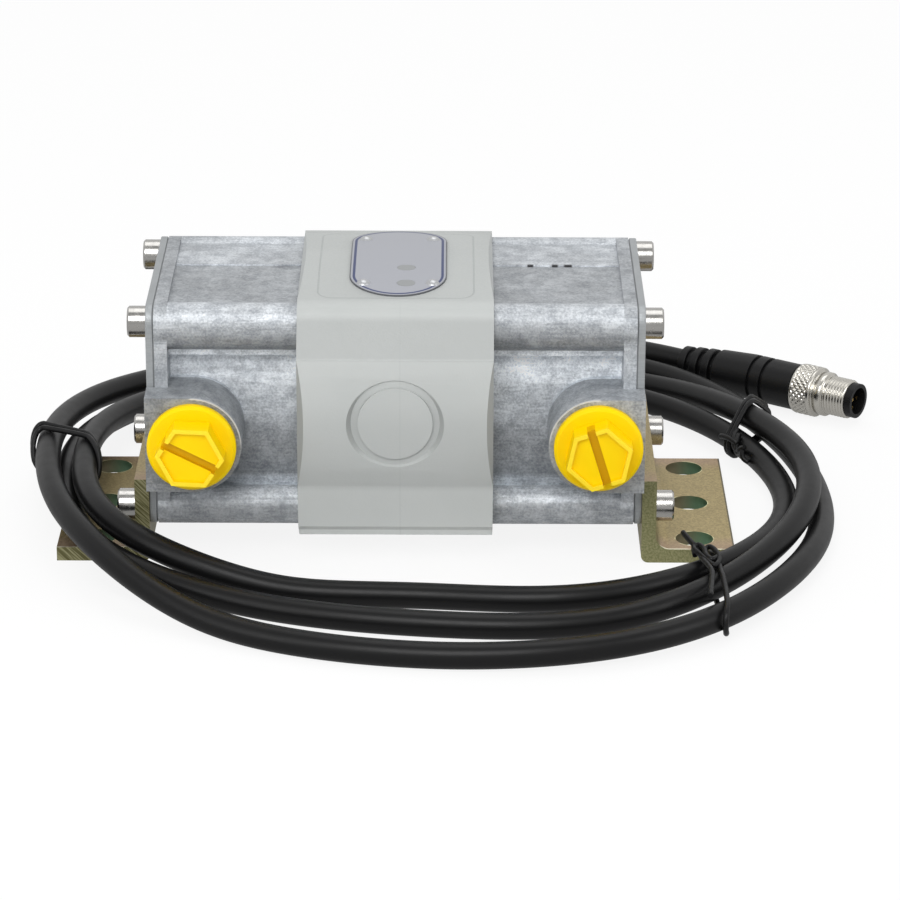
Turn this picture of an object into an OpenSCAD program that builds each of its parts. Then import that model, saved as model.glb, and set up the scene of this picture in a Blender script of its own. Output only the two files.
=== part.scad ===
// Gear-type fuel flow meter: two metering castings, a clamp cover, end brackets and a coiled lead.
// Millimetres. X runs along the meter, the port plugs face -Y, and the feet stand on z = 0.

/* [Castings] */
// Half length of the meter over its end plates
half_len = 68; // [66:0.5:74]
// Depth of the end flanges, front to back
flange_d = 68; // [66:0.5:72]
// Height of the end flanges
flange_h = 64; // [62:0.5:68]
// Corner radius of the flanges and end plates
flange_r = 5; // [3:0.5:6]
// Thickness of the outer flange of each casting
flange_t = 3.5; // [2.5:0.5:5]
// Height of the underside of the castings over the floor
belly_z = 9.6; // [8:0.2:12]
// Half width of the metering chamber wall, seen from the end
wall_half = 24.5; // [23:0.5:26]
// Depth of the recessed panel on top
panel_drop = 1.2; // [0.5:0.1:2]
// Distance of the step on top behind the middle
panel_step_y = 7.2; // [4:0.2:12]

/* [End plates and screws] */
// Thickness of each end plate
plate_t = 2; // [1.5:0.1:3]
// Thickness of each end seal
seal_t = 0.3; // [0.2:0.1:1]
// Spacing of the end screws, front to back
screw_y = 58.8; // [56:0.2:60]
// Spacing of the end screws, up and down
screw_z = 53.4; // [50:0.2:54]
// Thread diameter of the end screws
screw_d = 5; // [4:0.5:5]
// Head diameter of the end screws
head_d = 8.6; // [8:0.1:9]
// Head height of the end screws
head_h = 5; // [4:0.5:6]
// Length of the end screws under the head
screw_len = 22; // [16:1:26]

/* [Ports and plugs] */
// Distance of the port axes from the ends of the meter
port_in = 12.7; // [12:0.1:15]
// Height of the port axes over the floor
port_z = 37.5; // [36:0.1:40]
// Radius of the port bosses
boss_r = 13.5; // [13:0.1:14]
// Distance of the boss faces from the middle plane
boss_y = 43.5; // [40:0.5:48]
// Thread diameter of the ports
port_d = 18; // [16:0.5:20]
// Depth of the threaded port
port_depth = 13; // [12:0.5:14]
// Diameter of the passage behind the thread
passage_d = 9; // [6:0.5:11]
// Flange diameter of the port plugs
cap_d = 24.3; // [22:0.1:25]
// Flange thickness of the port plugs
cap_t = 2.7; // [2:0.1:3.5]
// Threaded length of the port plugs
cap_thread = 11; // [8:0.5:12]
// Size of the plug's hexagon over its corners
cap_hex_d = 18.7; // [16:0.1:20]
// Length of the plug's hexagon
cap_hex_t = 7.3; // [5:0.1:9]
// Wall of the rim round the plug's face
cap_rim = 1.1; // [0.8:0.1:1.6]
// Depth of the plug's face behind its rim
cap_dish = 1.2; // [0.6:0.1:2]
// Width of the slot in the plug
cap_slot = 2.2; // [1.5:0.1:3]

/* [Brackets] */
// Thickness of the brackets
bracket_t = 4; // [3:0.5:5]
// Length of the brackets, front to back
bracket_len = 70; // [69:0.5:74]
// Height of the upright leg
bracket_h = 24.2; // [22:0.2:26]
// Reach of the feet past the ends of the meter
foot_reach = 26; // [24:0.5:32]
// Distance of the foot holes past the ends of the meter
foot_hole_out = 15.2; // [14.6:0.1:16]
// Spacing of the foot holes
foot_hole_y = 27; // [24:0.5:28]
// Diameter of the foot holes
foot_hole_d = 10.5; // [8:0.5:11]
// Radius inside the bend of each bracket
bracket_fillet = 4; // [2:0.5:5]
// Radius outside the bend of each bracket
bracket_bend = 2; // [1:0.5:3]

/* [Cover] */
// Width of the cover along the meter
cover_w = 53.4; // [50:0.2:56]
// Distance of the cover's front panel from the middle plane
cover_front_y = 42.5; // [42:0.1:43]
// Drop of the panel's upper crease below the cover's top edges
crease_drop = 13.3; // [11.5:0.1:17]
// Rise of the panel's lower crease over the cover's underside
crease_rise = 18; // [15:0.1:20.5]
// Half depth of the cover at its top edges
cover_top_half = 33.6; // [32:0.1:35]
// Rise of the cover's top edges over the flanges
cover_lift = 1.6; // [1.2:0.1:4.4]
// Drop of the cover's underside below the castings
cover_under = 2.2; // [1.6:0.1:3.4]
// Rise of the crown on top
crown_rise = 2; // [1:0.1:3]
// Rise of the bulge in front and behind
bulge_rise = 2.4; // [1:0.1:3]
// Draft of the crown at each end of the cover
crown_draft = 1.2; // [0.5:0.1:2]
// Draft of the bulge at each end of the cover
bulge_draft = 1.8; // [0.5:0.1:2.5]
// Radius along the top edges
cover_edge_r = 7; // [4:0.5:9]
// Wall of the cover
cover_wall = 2; // [1.6:0.1:3]
// Diameter of the round recess in front
dish_d = 27.4; // [24:0.2:30]
// Diameter of the raised disc inside the recess
disc_d = 20.4; // [18:0.2:22]
// Depth of the round recess
dish_depth = 0.9; // [0.5:0.1:1.4]
// Place of the joint between front and rear cover
cover_joint_y = 29.4; // [28:0.2:32]

/* [Label plate] */
// Width of the label plate
label_w = 26.6; // [24:0.2:30]
// Length of the label plate
label_l = 57; // [50:0.5:58]
// Thickness of the label plate
label_t = 0.8; // [0.5:0.1:1.2]
// Spacing of the rivets across the plate
rivet_x = 19; // [17:0.2:21]
// Spacing of the rivets along the plate
rivet_y = 38; // [34:0.5:42]
// Head diameter of the rivets
rivet_d = 3.8; // [3:0.1:4.4]

/* [Metering gears] */
// Module of the gear teeth
gear_module = 1.75; // [1.5:0.05:1.8]
// Number of teeth on each gear
gear_teeth = 12; // [10:1:12]
// Width of each gear
gear_w = 22; // [16:0.5:23]
// Diameter of the gear pins
pin_d = 6; // [5:0.5:7]
// Gap between gears and chamber
gear_gap = 0.3; // [0.2:0.05:0.5]
// Thinning of each tooth, for backlash
backlash = 0.35; // [0.2:0.05:0.5]
// Depth of each metering chamber
chamber_depth = 23; // [22.8:0.1:25]

/* [Cable and connector] */
// Diameter of the cable
cable_d = 7.2; // [6:0.1:7.4]
// Diameter of the connector grip
grip_d = 14.1; // [12:0.1:14.4]
// Length of the connector grip with its boot
grip_len = 41.3; // [38:0.1:44]
// Diameter of the knurled ring
knurl_d = 15.4; // [15:0.1:15.4]
// Length of the knurled ring
knurl_len = 7.2; // [6:0.1:9]
// Diameter of the plain collar
collar_d = 13.6; // [13:0.1:14.5]
// Length of the plain collar
collar_len = 3.4; // [2:0.1:4]
// Outside diameter of the connector thread
thread_d = 12; // [11.8:0.1:12.2]
// Length of the connector thread
thread_len = 7.6; // [6:0.1:9]
// Thickness of the tie wire
tie_d = 1.6; // [1:0.1:1.7]

/* [Hidden] */
$fn = 64;

// Overrun of every cut past the face it opens
over = 0.5;
// Radial gap of a screw in its clearance hole
hole_gap = 0.25;
// Radial gap of a pin, shank or plug in its bore
fit_gap = 0.05;
// Gap between the cover and the castings
cover_gap = 0.3;

// Places along the meter
plate_in_x = half_len - plate_t;
cast_end_x = plate_in_x - seal_t;
port_x = half_len - port_in;
foot_edge_x = half_len + foot_reach;
foot_hole_x = half_len + foot_hole_out;
gasket_half = 1;
flange_top_z = belly_z + flange_h;
mid_z = belly_z + flange_h / 2;
low_screw_z = mid_z - screw_z / 2;
top_screw_z = mid_z + screw_z / 2;
ridge_r = (flange_h - screw_z) / 2;
ridge_drop = 2.4;
web_t = 1.8;
web_drop = 4.2;
low_web_rise = 3.6;
panel_step_rise = 0.3;
seal_inset = 0.4;
inner_flange_t = 4;
inner_flange_inset = 1.2;
chamber_x = cast_end_x - chamber_depth;
pin_seat = 5;
pocket_wall = 7.7;
pocket_x = chamber_x - pin_seat - pocket_wall;
pocket_half_y = 17;
pocket_half_z = 22;
gear_pitch_r = gear_module * gear_teeth / 2;
gear_tip_r = gear_pitch_r + gear_module;
gear_root_r = gear_pitch_r - 1.2 * gear_module;
pressure_angle = 20;
gear_x = chamber_x + (chamber_depth - gear_w) / 2;
gear_low_z = port_z - gear_pitch_r;
gear_top_z = port_z + gear_pitch_r;
cover_top_z = flange_top_z + cover_lift;
cover_low_z = belly_z - cover_under;
crease_top_z = cover_top_z - crease_drop;
crease_low_z = cover_low_z + crease_rise;
bore_len = screw_len + 3;
head_chamfer = 0.5;
socket_af = 4;
socket_depth = 2.4;
magnet_d = 3;
magnet_t = 2;
magnet_ring_r = 7;
face_gap = 0.3;

// One half of a symmetric pair
module right_side() { children(); }
module left_side() { mirror([1, 0, 0]) children(); }

// Rounded rectangle from plain circles and squares, standing on its lower edge
module rounded_rect(w, h, r) {
    translate([-w / 2 + r, 0]) square([w - 2 * r, h]);
    translate([-w / 2, r]) square([w, h - 2 * r]);
    for (x = [-w / 2 + r, w / 2 - r], y = [r, h - r])
        translate([x, y]) circle(r);
}

// A flat shape drawn in Y and Z, thickened along +X from a place x
module along_x(x, len) {
    translate([x, 0, 0]) rotate([90, 0, 90]) linear_extrude(len) children();
}

// Outline of the outer flanges and end plates, made smaller all round by inset
module flange_shape(inset) {
    translate([0, belly_z + inset])
        rounded_rect(flange_d - 2 * inset, flange_h - 2 * inset, flange_r - inset);
}

// Outline of the flanges where the castings meet, made larger all round by grow
module inner_flange_shape(grow) {
    inset = inner_flange_inset - grow;
    translate([0, belly_z + inset])
        rounded_rect(flange_d - 2 * inset, flange_h - 2 * inset, flange_r);
}

module end_screw_places() {
    for (y = [-screw_y / 2, screw_y / 2], z = [low_screw_z, top_screw_z])
        translate([y, z]) children();
}

// Two round ends joined by straight sides, one above the other
module twin_round(r, low, top) {
    for (z = [low, top]) translate([0, z]) circle(r);
    translate([-r, low]) square([2 * r, top - low]);
}

// Section of a casting between its flanges, made larger all round by grow
module casting_section(grow) {
    slab_top = flange_top_z - panel_drop + grow;
    slab_low = belly_z + panel_drop - grow;
    half = screw_y / 2;
    intersection() {
        twin_round(wall_half + grow, gear_low_z, gear_top_z);
        translate([-half, slab_low]) square([2 * half, slab_top - slab_low]);
    }
    end_screw_places() circle(ridge_r + grow);
    for (y = [-half, half]) translate([y, 0])
        twin_round(ridge_r + grow, top_screw_z - ridge_drop, top_screw_z);
    translate([-half, top_screw_z - ridge_r - web_drop - grow])
        square([2 * half, slab_top - top_screw_z + ridge_r + web_drop + grow]);
    for (y = [-1, 1]) translate([y * (half - web_t), 0])
        translate([-web_t, slab_low]) square([2 * web_t, low_screw_z - slab_low]);
    translate([-half, slab_low]) square([2 * half, low_screw_z + low_web_rise + grow - slab_low]);
    translate([panel_step_y - grow, top_screw_z])
        square([half - panel_step_y + grow, slab_top + panel_step_rise - top_screw_z]);
}

// Port boss: round towards the middle, square and flush with the end plate outside
module port_boss() {
    clear_y = flange_d / 2 + face_gap;
    rotate([90, 0, 0]) intersection() {
        union() {
            cylinder(r = boss_r, h = boss_y);
            translate([0, -boss_r, 0]) cube([half_len - port_x, 2 * boss_r, boss_y]);
        }
        union() {
            translate([-boss_r, -boss_r, 0])
                cube([boss_r + cast_end_x - port_x, 2 * boss_r, boss_y]);
            translate([-boss_r, -boss_r, clear_y])
                cube([boss_r + half_len - port_x, 2 * boss_r, boss_y - clear_y]);
        }
    }
}

module port_cut() {
    rotate([90, 0, 0]) {
        translate([0, 0, boss_y - port_depth]) cylinder(d = port_d, h = port_depth + over);
        cylinder(d = passage_d, h = boss_y);
    }
}

module casting() {
    difference() {
        union() {
            along_x(cast_end_x - flange_t, flange_t) flange_shape(0);
            along_x(gasket_half, cast_end_x - gasket_half) casting_section(0);
            along_x(gasket_half, inner_flange_t) inner_flange_shape(0);
            for (turn = [0, 1]) mirror([0, turn, 0]) translate([port_x, 0, port_z]) port_boss();
        }
        along_x(chamber_x, chamber_depth + over)
            twin_round(gear_tip_r + gear_gap, gear_low_z, gear_top_z);
        along_x(gasket_half - over, pocket_x - gasket_half + over) translate([0, mid_z - pocket_half_z])
            rounded_rect(2 * pocket_half_y, 2 * pocket_half_z, flange_r);
        for (turn = [0, 1]) mirror([0, turn, 0]) translate([port_x, 0, port_z]) port_cut();
        for (z = [gear_low_z, gear_top_z]) translate([chamber_x - pin_seat, 0, z])
            rotate([0, 90, 0]) cylinder(d = pin_d + 2 * fit_gap, h = pin_seat + over);
        along_x(cast_end_x - bore_len, bore_len + over)
            end_screw_places() circle(d = screw_d + 2 * fit_gap);
        cover_screw_places() translate([0, cover_seat_y - cover_screw_len - over, 0]) rotate([-90, 0, 0])
            cylinder(d = cover_screw_d + 2 * fit_gap, h = cover_screw_len);
    }
}

module left_casting() { color([0.67, 0.69, 0.71]) left_side() casting(); }
module right_casting() { color([0.67, 0.69, 0.71]) right_side() casting(); }

module end_plate() {
    along_x(plate_in_x, plate_t) difference() {
        flange_shape(0);
        end_screw_places() circle(d = screw_d + 2 * hole_gap);
    }
}

module left_end_plate() { color([0.62, 0.65, 0.67]) left_side() end_plate(); }
module right_end_plate() { color([0.62, 0.65, 0.67]) right_side() end_plate(); }

module end_seal() {
    along_x(cast_end_x, seal_t) difference() {
        flange_shape(seal_inset);
        twin_round(gear_tip_r + gear_module, gear_low_z, gear_top_z);
        end_screw_places() circle(d = screw_d + 2 * hole_gap);
    }
}

module left_end_seal() { color([0.15, 0.15, 0.16]) left_side() end_seal(); }
module right_end_seal() { color([0.15, 0.15, 0.16]) right_side() end_seal(); }

// Angle section of a bracket in X and Z, with a round bend inside and out
module bracket_shape() {
    leg_x = half_len;
    inside = half_len + bracket_t;
    difference() {
        union() {
            translate([leg_x, bracket_bend]) square([bracket_t, bracket_h - bracket_bend]);
            translate([leg_x + bracket_bend, 0]) square([foot_edge_x - leg_x - bracket_bend, bracket_t]);
            translate([leg_x + bracket_bend, bracket_bend]) circle(bracket_bend);
            translate([inside, bracket_t]) square(bracket_fillet);
        }
        translate([inside + bracket_fillet, bracket_t + bracket_fillet]) circle(bracket_fillet);
    }
}

module bracket() {
    difference() {
        translate([0, bracket_len / 2, 0]) rotate([90, 0, 0]) linear_extrude(bracket_len) bracket_shape();
        for (y = [-foot_hole_y, 0, foot_hole_y]) translate([foot_hole_x, y, -over])
            cylinder(d = foot_hole_d, h = bracket_t + 2 * over);
        for (y = [-screw_y / 2, screw_y / 2])
            translate([half_len - over, y, low_screw_z]) rotate([0, 90, 0])
                cylinder(d = screw_d + 2 * hole_gap, h = bracket_t + 2 * over);
    }
}

module left_bracket() { color([0.62, 0.57, 0.40]) left_side() bracket(); }
module right_bracket() { color([0.62, 0.57, 0.40]) right_side() bracket(); }

// Socket-head cap screw with its seat at z = 0 and its shank below
module cap_screw(len) {
    difference() {
        union() {
            cylinder(d = head_d, h = head_h - head_chamfer);
            translate([0, 0, head_h - head_chamfer])
                cylinder(d1 = head_d, d2 = head_d - 2 * head_chamfer, h = head_chamfer);
            translate([0, 0, -len]) cylinder(d = screw_d, h = len);
        }
        translate([0, 0, head_h - socket_depth])
            cylinder(d = socket_af * 2 / sqrt(3), h = socket_depth + over, $fn = 6);
    }
}

module end_screws() {
    for (y = [-screw_y / 2, screw_y / 2]) {
        translate([half_len, y, top_screw_z]) rotate([0, 90, 0]) cap_screw(screw_len);
        translate([half_len + bracket_t, y, low_screw_z]) rotate([0, 90, 0]) cap_screw(screw_len);
    }
}

module left_end_screws() { color([0.75, 0.75, 0.76]) left_side() end_screws(); }
module right_end_screws() { color([0.75, 0.75, 0.76]) right_side() end_screws(); }

// Involute tooth outline, worked out from the module, the tooth count and the pressure angle
base_r = gear_pitch_r * cos(pressure_angle);
flank_steps = 5;
deg = 180 / PI;
function involute_polar(r) = let (t = sqrt(pow(r / base_r, 2) - 1)) t * deg - atan(t);
tooth_half_angle = 90 / gear_teeth - backlash / (2 * gear_pitch_r) * deg;
flank_start_r = max(base_r, gear_root_r);
function flank_angle(r) = tooth_half_angle + involute_polar(gear_pitch_r) - involute_polar(r);
function polar(r, a) = [r * cos(a), r * sin(a)];
function tooth_points(a) = concat(
    [polar(gear_root_r, a - flank_angle(flank_start_r))],
    [for (i = [0:flank_steps]) let (r = flank_start_r + (gear_tip_r - flank_start_r) * i / flank_steps)
        polar(r, a - flank_angle(r))],
    [for (i = [flank_steps:-1:0]) let (r = flank_start_r + (gear_tip_r - flank_start_r) * i / flank_steps)
        polar(r, a + flank_angle(r))],
    [polar(gear_root_r, a + flank_angle(flank_start_r))]);

// Spur gear at rest, its first tooth turned to the angle phase
module spur_gear(z, phase) {
    translate([gear_x, 0, z]) rotate([90, 0, 90]) linear_extrude(gear_w) difference() {
        polygon([for (i = [0:gear_teeth - 1]) each tooth_points(phase + i * 360 / gear_teeth)]);
        circle(d = pin_d + 2 * fit_gap);
    }
}

// Driver gear with two blind seats for its magnets in the face towards the middle
module driver_gear() {
    difference() {
        spur_gear(gear_low_z, 90);
        magnet_places() cylinder(d = magnet_d + 2 * fit_gap, h = magnet_t + over);
    }
}

module magnet_places() {
    for (side = [-1, 1]) translate([gear_x - over, side * magnet_ring_r, gear_low_z])
        rotate([0, 90, 0]) children();
}

module idler_gear() { spur_gear(gear_top_z, 90 + 180 / gear_teeth); }

module left_driver_gear() { color([0.80, 0.72, 0.45]) left_side() driver_gear(); }
module right_driver_gear() { color([0.80, 0.72, 0.45]) right_side() driver_gear(); }
module left_idler_gear() { color([0.55, 0.57, 0.60]) left_side() idler_gear(); }
module right_idler_gear() { color([0.55, 0.57, 0.60]) right_side() idler_gear(); }

module gear_magnets() {
    magnet_places() translate([0, 0, over]) cylinder(d = magnet_d, h = magnet_t);
}

module left_gear_magnets() { color([0.3, 0.3, 0.32]) left_side() gear_magnets(); }
module right_gear_magnets() { color([0.3, 0.3, 0.32]) right_side() gear_magnets(); }

module gear_pins() {
    for (z = [gear_low_z, gear_top_z]) translate([chamber_x - pin_seat, 0, z]) rotate([0, 90, 0])
        cylinder(d = pin_d, h = pin_seat + chamber_depth + seal_t - over / 2);
}

module left_gear_pins() { color([0.7, 0.7, 0.72]) left_side() gear_pins(); }
module right_gear_pins() { color([0.7, 0.7, 0.72]) right_side() gear_pins(); }

// Cover, built round a section drawn in Y and Z
half_cover = cover_w / 2;
inner_half = half_cover - cover_wall;
low_corner_y = 35;
low_corner_rise = 3.6;
low_corner_z = cover_low_z + low_corner_rise;
edge_steps = 8;
edge_sweep = atan2(cover_top_z - crease_top_z, cover_front_y - cover_top_half);
edge_centre = [cover_top_half - cover_edge_r * tan(edge_sweep / 2), cover_top_z - cover_edge_r];
function edge_point(a) = edge_centre + cover_edge_r * [sin(a), cos(a)];

// Half of the outline, from the middle of the top down to the middle of the underside
half_outline = concat([[0, cover_top_z]],
    [for (i = [0:edge_steps]) edge_point(edge_sweep * i / edge_steps)],
    [[cover_front_y, crease_top_z], [cover_front_y, crease_low_z],
     [cover_front_y - web_t, low_corner_z + web_t], [low_corner_y, cover_low_z + web_t / 2],
     [low_corner_y - web_t, cover_low_z], [0, cover_low_z]]);

module cover_shape() {
    polygon(half_outline);
    mirror([1, 0]) polygon(half_outline);
}

// Crown on top: a shallow round rise whose ends draw in
crown_r = (pow(edge_centre[0], 2) + pow(crown_rise, 2)) / (2 * crown_rise);
crown_axis_z = cover_top_z + crown_rise - crown_r;
crown_sides = 360;
module crown_cylinder(grow) {
    translate([-half_cover, 0, crown_axis_z]) rotate([0, 90, 0])
        cylinder(r = crown_r + grow, h = cover_w, $fn = crown_sides);
}

// Stands its children on the crown, square to its surface, at a place x and y
module on_crown(x, y) {
    translate([x, 0, crown_axis_z]) rotate([-asin(y / crown_r), 0, 0])
        translate([0, 0, crown_r]) children();
}

module crown() {
    intersection() {
        crown_cylinder(0);
        translate([0, edge_centre[0], cover_top_z]) rotate([90, 0, 0])
            linear_extrude(2 * edge_centre[0])
                polygon([[-half_cover, -over], [-half_cover, 0], [-half_cover + crown_draft, crown_rise],
                    [half_cover - crown_draft, crown_rise], [half_cover, 0], [half_cover, -over]]);
    }
}

// Bulge of the front or rear panel, between its two creases
bulge_mid_z = (crease_top_z + crease_low_z) / 2;
bulge_half = (crease_top_z - crease_low_z) / 2;
bulge_r = (pow(bulge_half, 2) + pow(bulge_rise, 2)) / (2 * bulge_rise);
module bulge() {
    intersection() {
        translate([-half_cover, -cover_front_y - bulge_rise + bulge_r, bulge_mid_z]) rotate([0, 90, 0])
            cylinder(r = bulge_r, h = cover_w, $fn = crown_sides);
        translate([0, -cover_front_y, crease_low_z]) linear_extrude(2 * bulge_half)
            polygon([[-half_cover, over], [-half_cover, 0], [-half_cover + bulge_draft, -bulge_rise],
                [half_cover - bulge_draft, -bulge_rise], [half_cover, 0], [half_cover, over]]);
    }
}

// Room inside the cover: the flanges in the middle, the castings' own section at both ends
module cover_room() {
    along_x(-half_cover - over, cover_w + 2 * over) casting_section(cover_gap);
    room_z = low_corner_z + cover_wall;
    along_x(-inner_half, 2 * inner_half) {
        inner_flange_shape(cover_gap);
        translate([0, room_z])
            rounded_rect(2 * (cover_front_y - cover_wall), crease_top_z - room_z, flange_r);
    }
}

module cover_body() {
    difference() {
        union() {
            along_x(-half_cover, cover_w) cover_shape();
            crown();
            bulge();
            mirror([0, 1, 0]) bulge();
        }
        cover_room();
    }
}

// Everything behind the joint, and the end walls behind the castings that only the rear can hold
big = 2 * half_len;
module behind_joint() {
    wall_y = wall_half - 2 * web_t;
    translate([-half_len, cover_joint_y, -over]) cube([big, big, big]);
    translate([-half_len, wall_y, low_screw_z]) cube([big, cover_joint_y - wall_y + over, screw_z]);
}

cover_screw_d = 3;
cover_screw_len = 12;
cover_screw_head_d = 5.5;
cover_screw_head_t = 2.2;
cover_screw_in = 5.7;
cover_screw_x = half_cover - cover_screw_in;
cover_screw_high_z = top_screw_z - 2.3;
cover_screw_low_z = low_screw_z + 1.1;
cover_seat_y = 37;
cover_post_r = 4;
module cover_screw_places() {
    for (x = [-cover_screw_x, cover_screw_x], z = [cover_screw_low_z, cover_screw_high_z])
        translate([x, 0, z]) children();
}

// Posts inside the rear cover that carry its screws to the castings
module cover_posts() {
    difference() {
        intersection() {
            cover_screw_places() translate([0, cover_joint_y, 0]) rotate([-90, 0, 0])
                cylinder(r = cover_post_r, h = cover_front_y - cover_joint_y);
            along_x(-half_cover, cover_w) cover_shape();
        }
        along_x(-half_cover, cover_w) casting_section(cover_gap);
    }
}

// Outline of the label plate: straight sides and two half-round ends
label_mid_x = 0.5;
module stadium(w, l) {
    square([w, l - w], center = true);
    for (y = [-1, 1]) translate([0, y * (l - w) / 2]) circle(d = w);
}
module label_prism(grow) {
    translate([label_mid_x, 0, cover_top_z - label_t]) linear_extrude(crown_rise + 2 * label_t + grow)
        stadium(label_w + 2 * grow, label_l + 2 * grow);
}
module label_seat() {
    difference() {
        label_prism(fit_gap);
        crown_cylinder(-label_t / 2);
    }
}

module front_cover() {
    color([0.76, 0.78, 0.77]) difference() {
        cover_body();
        behind_joint();
        label_seat();
        rivet_holes();
        dish_cut();
    }
}

// Round recess in the front panel with a flat disc left inside it
dish_rise = 0.55;
dish_z = bulge_mid_z + dish_rise;
dish_bevel = 1.6;
module dish_cut() {
    face_y = cover_front_y + bulge_rise;
    translate([0, -face_y - over, dish_z]) rotate([-90, 0, 0]) difference() {
        cylinder(d1 = dish_d, d2 = dish_d - 2 * dish_bevel, h = over + dish_bevel);
        translate([0, 0, over + dish_depth]) cylinder(d = disc_d, h = dish_bevel);
    }
}

gland_z = 27;
gland_d = 13;
gland_len = 17;
gland_wall_y = cover_front_y + bulge_rise;
gland_seat_y = cover_front_y - cover_wall;
gland_nut_af = 15;
gland_nut_t = 5;
module rear_cover() {
    color([0.74, 0.76, 0.75]) difference() {
        union() {
            intersection() {
                cover_body();
                behind_joint();
            }
            cover_posts();
        }
        cover_screw_places() rotate([-90, 0, 0]) {
            cylinder(d = cover_screw_d + 2 * hole_gap, h = cover_front_y);
            translate([0, 0, cover_seat_y])
                cylinder(d = cover_screw_head_d + 2 * hole_gap, h = cover_front_y);
        }
        translate([0, gland_seat_y - over, gland_z]) rotate([-90, 0, 0])
            cylinder(d = gland_d + 2 * fit_gap, h = cover_front_y);
    }
}

module cover_screws() {
    color([0.72, 0.72, 0.73]) cover_screw_places()
        translate([0, cover_seat_y, 0]) rotate([-90, 0, 0]) {
            cylinder(d = cover_screw_head_d, h = cover_screw_head_t);
            translate([0, 0, -cover_screw_len]) cylinder(d = cover_screw_d, h = cover_screw_len);
        }
}

rivet_stem_d = 1.6;
rivet_len = 2.5;
rivet_dome = 1;
rivet_mid_y = -1.5;
rivet_ball_r = (pow(rivet_d / 2, 2) + pow(rivet_dome, 2)) / (2 * rivet_dome);
module rivet_places() {
    for (x = [-rivet_x / 2, rivet_x / 2], y = [-rivet_y / 2, rivet_y / 2])
        on_crown(label_mid_x + x, rivet_mid_y + y) translate([0, 0, label_t / 2]) children();
}
module rivet_holes() {
    rivet_places() translate([0, 0, -rivet_len - fit_gap])
        cylinder(d = rivet_stem_d + 2 * fit_gap, h = rivet_len + over);
}

lens_w = 5;
lens_l = 4.2;
lens_x = 2.7;
lens_gap_y = 11.2;
lens_y = -9.3;
module lens_shape(grow) {
    for (x = [-1, 1]) translate([x * (lens_w - lens_l) / 2, 0]) circle(d = lens_l + 2 * grow);
    square([lens_w - lens_l, lens_l + 2 * grow], center = true);
}
module lens_places() {
    for (i = [0, 1]) on_crown(lens_x, lens_y - i * lens_gap_y) children();
}

module nameplate() {
    color([0.55, 0.57, 0.60]) difference() {
        intersection() {
            label_prism(0);
            crown_cylinder(label_t / 2);
        }
        crown_cylinder(-label_t / 2);
        rivet_holes();
        lens_places() translate([0, 0, -label_t]) linear_extrude(2 * label_t) lens_shape(fit_gap);
    }
}

module nameplate_rivets() {
    color([0.8, 0.8, 0.8]) rivet_places() {
        intersection() {
            translate([0, 0, rivet_dome - rivet_ball_r]) sphere(rivet_ball_r);
            cylinder(d = rivet_d, h = rivet_dome);
        }
        translate([0, 0, -rivet_len]) cylinder(d = rivet_stem_d, h = rivet_len + rivet_dome / 2);
    }
}

module indicator_lenses() {
    color([0.65, 0.68, 0.70]) lens_places() translate([0, 0, -label_t / 2])
        linear_extrude(label_t) lens_shape(0);
}

// Circuit board standing across the middle, with one pickup towards each driver gear
board_t = 1.6;
board_h = 38;
board_w = 28;
module circuit_board() {
    color([0.10, 0.38, 0.22]) along_x(-board_t / 2, board_t)
        translate([0, mid_z - board_h / 2]) rounded_rect(board_w, board_h, web_t);
}

pickup_d = 9;
module pickup_sensors() {
    color([0.12, 0.12, 0.13]) for (side = [0, 1]) mirror([side, 0, 0])
        translate([board_t / 2, 0, gear_low_z + board_lift]) rotate([0, 90, 0])
            cylinder(d = pickup_d, h = pocket_x - board_t / 2 - fit_gap);
}
board_lift = 3;

module centre_gasket() {
    color([0.16, 0.16, 0.17]) along_x(-gasket_half, 2 * gasket_half) difference() {
        inner_flange_shape(0);
        translate([0, mid_z - board_h / 2 - fit_gap])
            rounded_rect(board_w + 2 * fit_gap, board_h + 2 * fit_gap, web_t);
    }
}

// Port plug in its own frame: seat at z = 0, thread below, hexagon above
cap_chamfer = 0.8;
module port_plug(turn, slot_turn) {
    face_z = cap_t + cap_hex_t;
    difference() {
        union() {
            translate([0, 0, -cap_thread]) cylinder(d = port_d - 2 * fit_gap, h = cap_thread + cap_t / 2);
            cylinder(d = cap_d, h = cap_t - cap_chamfer);
            translate([0, 0, cap_t - cap_chamfer])
                cylinder(d1 = cap_d, d2 = cap_d - 2 * cap_chamfer, h = cap_chamfer);
            rotate(turn) cylinder(d = cap_hex_d, h = face_z, $fn = 6);
        }
        rotate(turn) translate([0, 0, face_z - cap_dish])
            cylinder(d = cap_hex_d - 2 * cap_rim * 2 / sqrt(3), h = cap_dish + over, $fn = 6);
        rotate(slot_turn) translate([-cap_hex_d, -cap_slot / 2, face_z - cap_dish - cap_slot / 2])
            cube([2 * cap_hex_d, cap_slot, cap_dish + cap_slot]);
        translate([0, 0, -cap_thread - over]) cylinder(d = cap_hollow_d, h = cap_thread);
    }
}
cap_hollow_d = 12;

left_hex_turn = -3;
left_slot_turn = -27;
right_hex_turn = 18;
right_slot_turn = -73;
module plug_at(side, back, turn, slot_turn) {
    color([0.98, 0.82, 0.05]) translate([side * port_x, (back ? 1 : -1) * boss_y, port_z])
        rotate([90, 0, back ? 180 : 0]) port_plug(turn, slot_turn);
}
module left_front_plug() { plug_at(-1, false, left_hex_turn, left_slot_turn); }
module right_front_plug() { plug_at(1, false, right_hex_turn, right_slot_turn); }
module left_rear_plug() { plug_at(-1, true, right_hex_turn, left_slot_turn); }
module right_rear_plug() { plug_at(1, true, left_hex_turn, right_slot_turn); }

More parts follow.
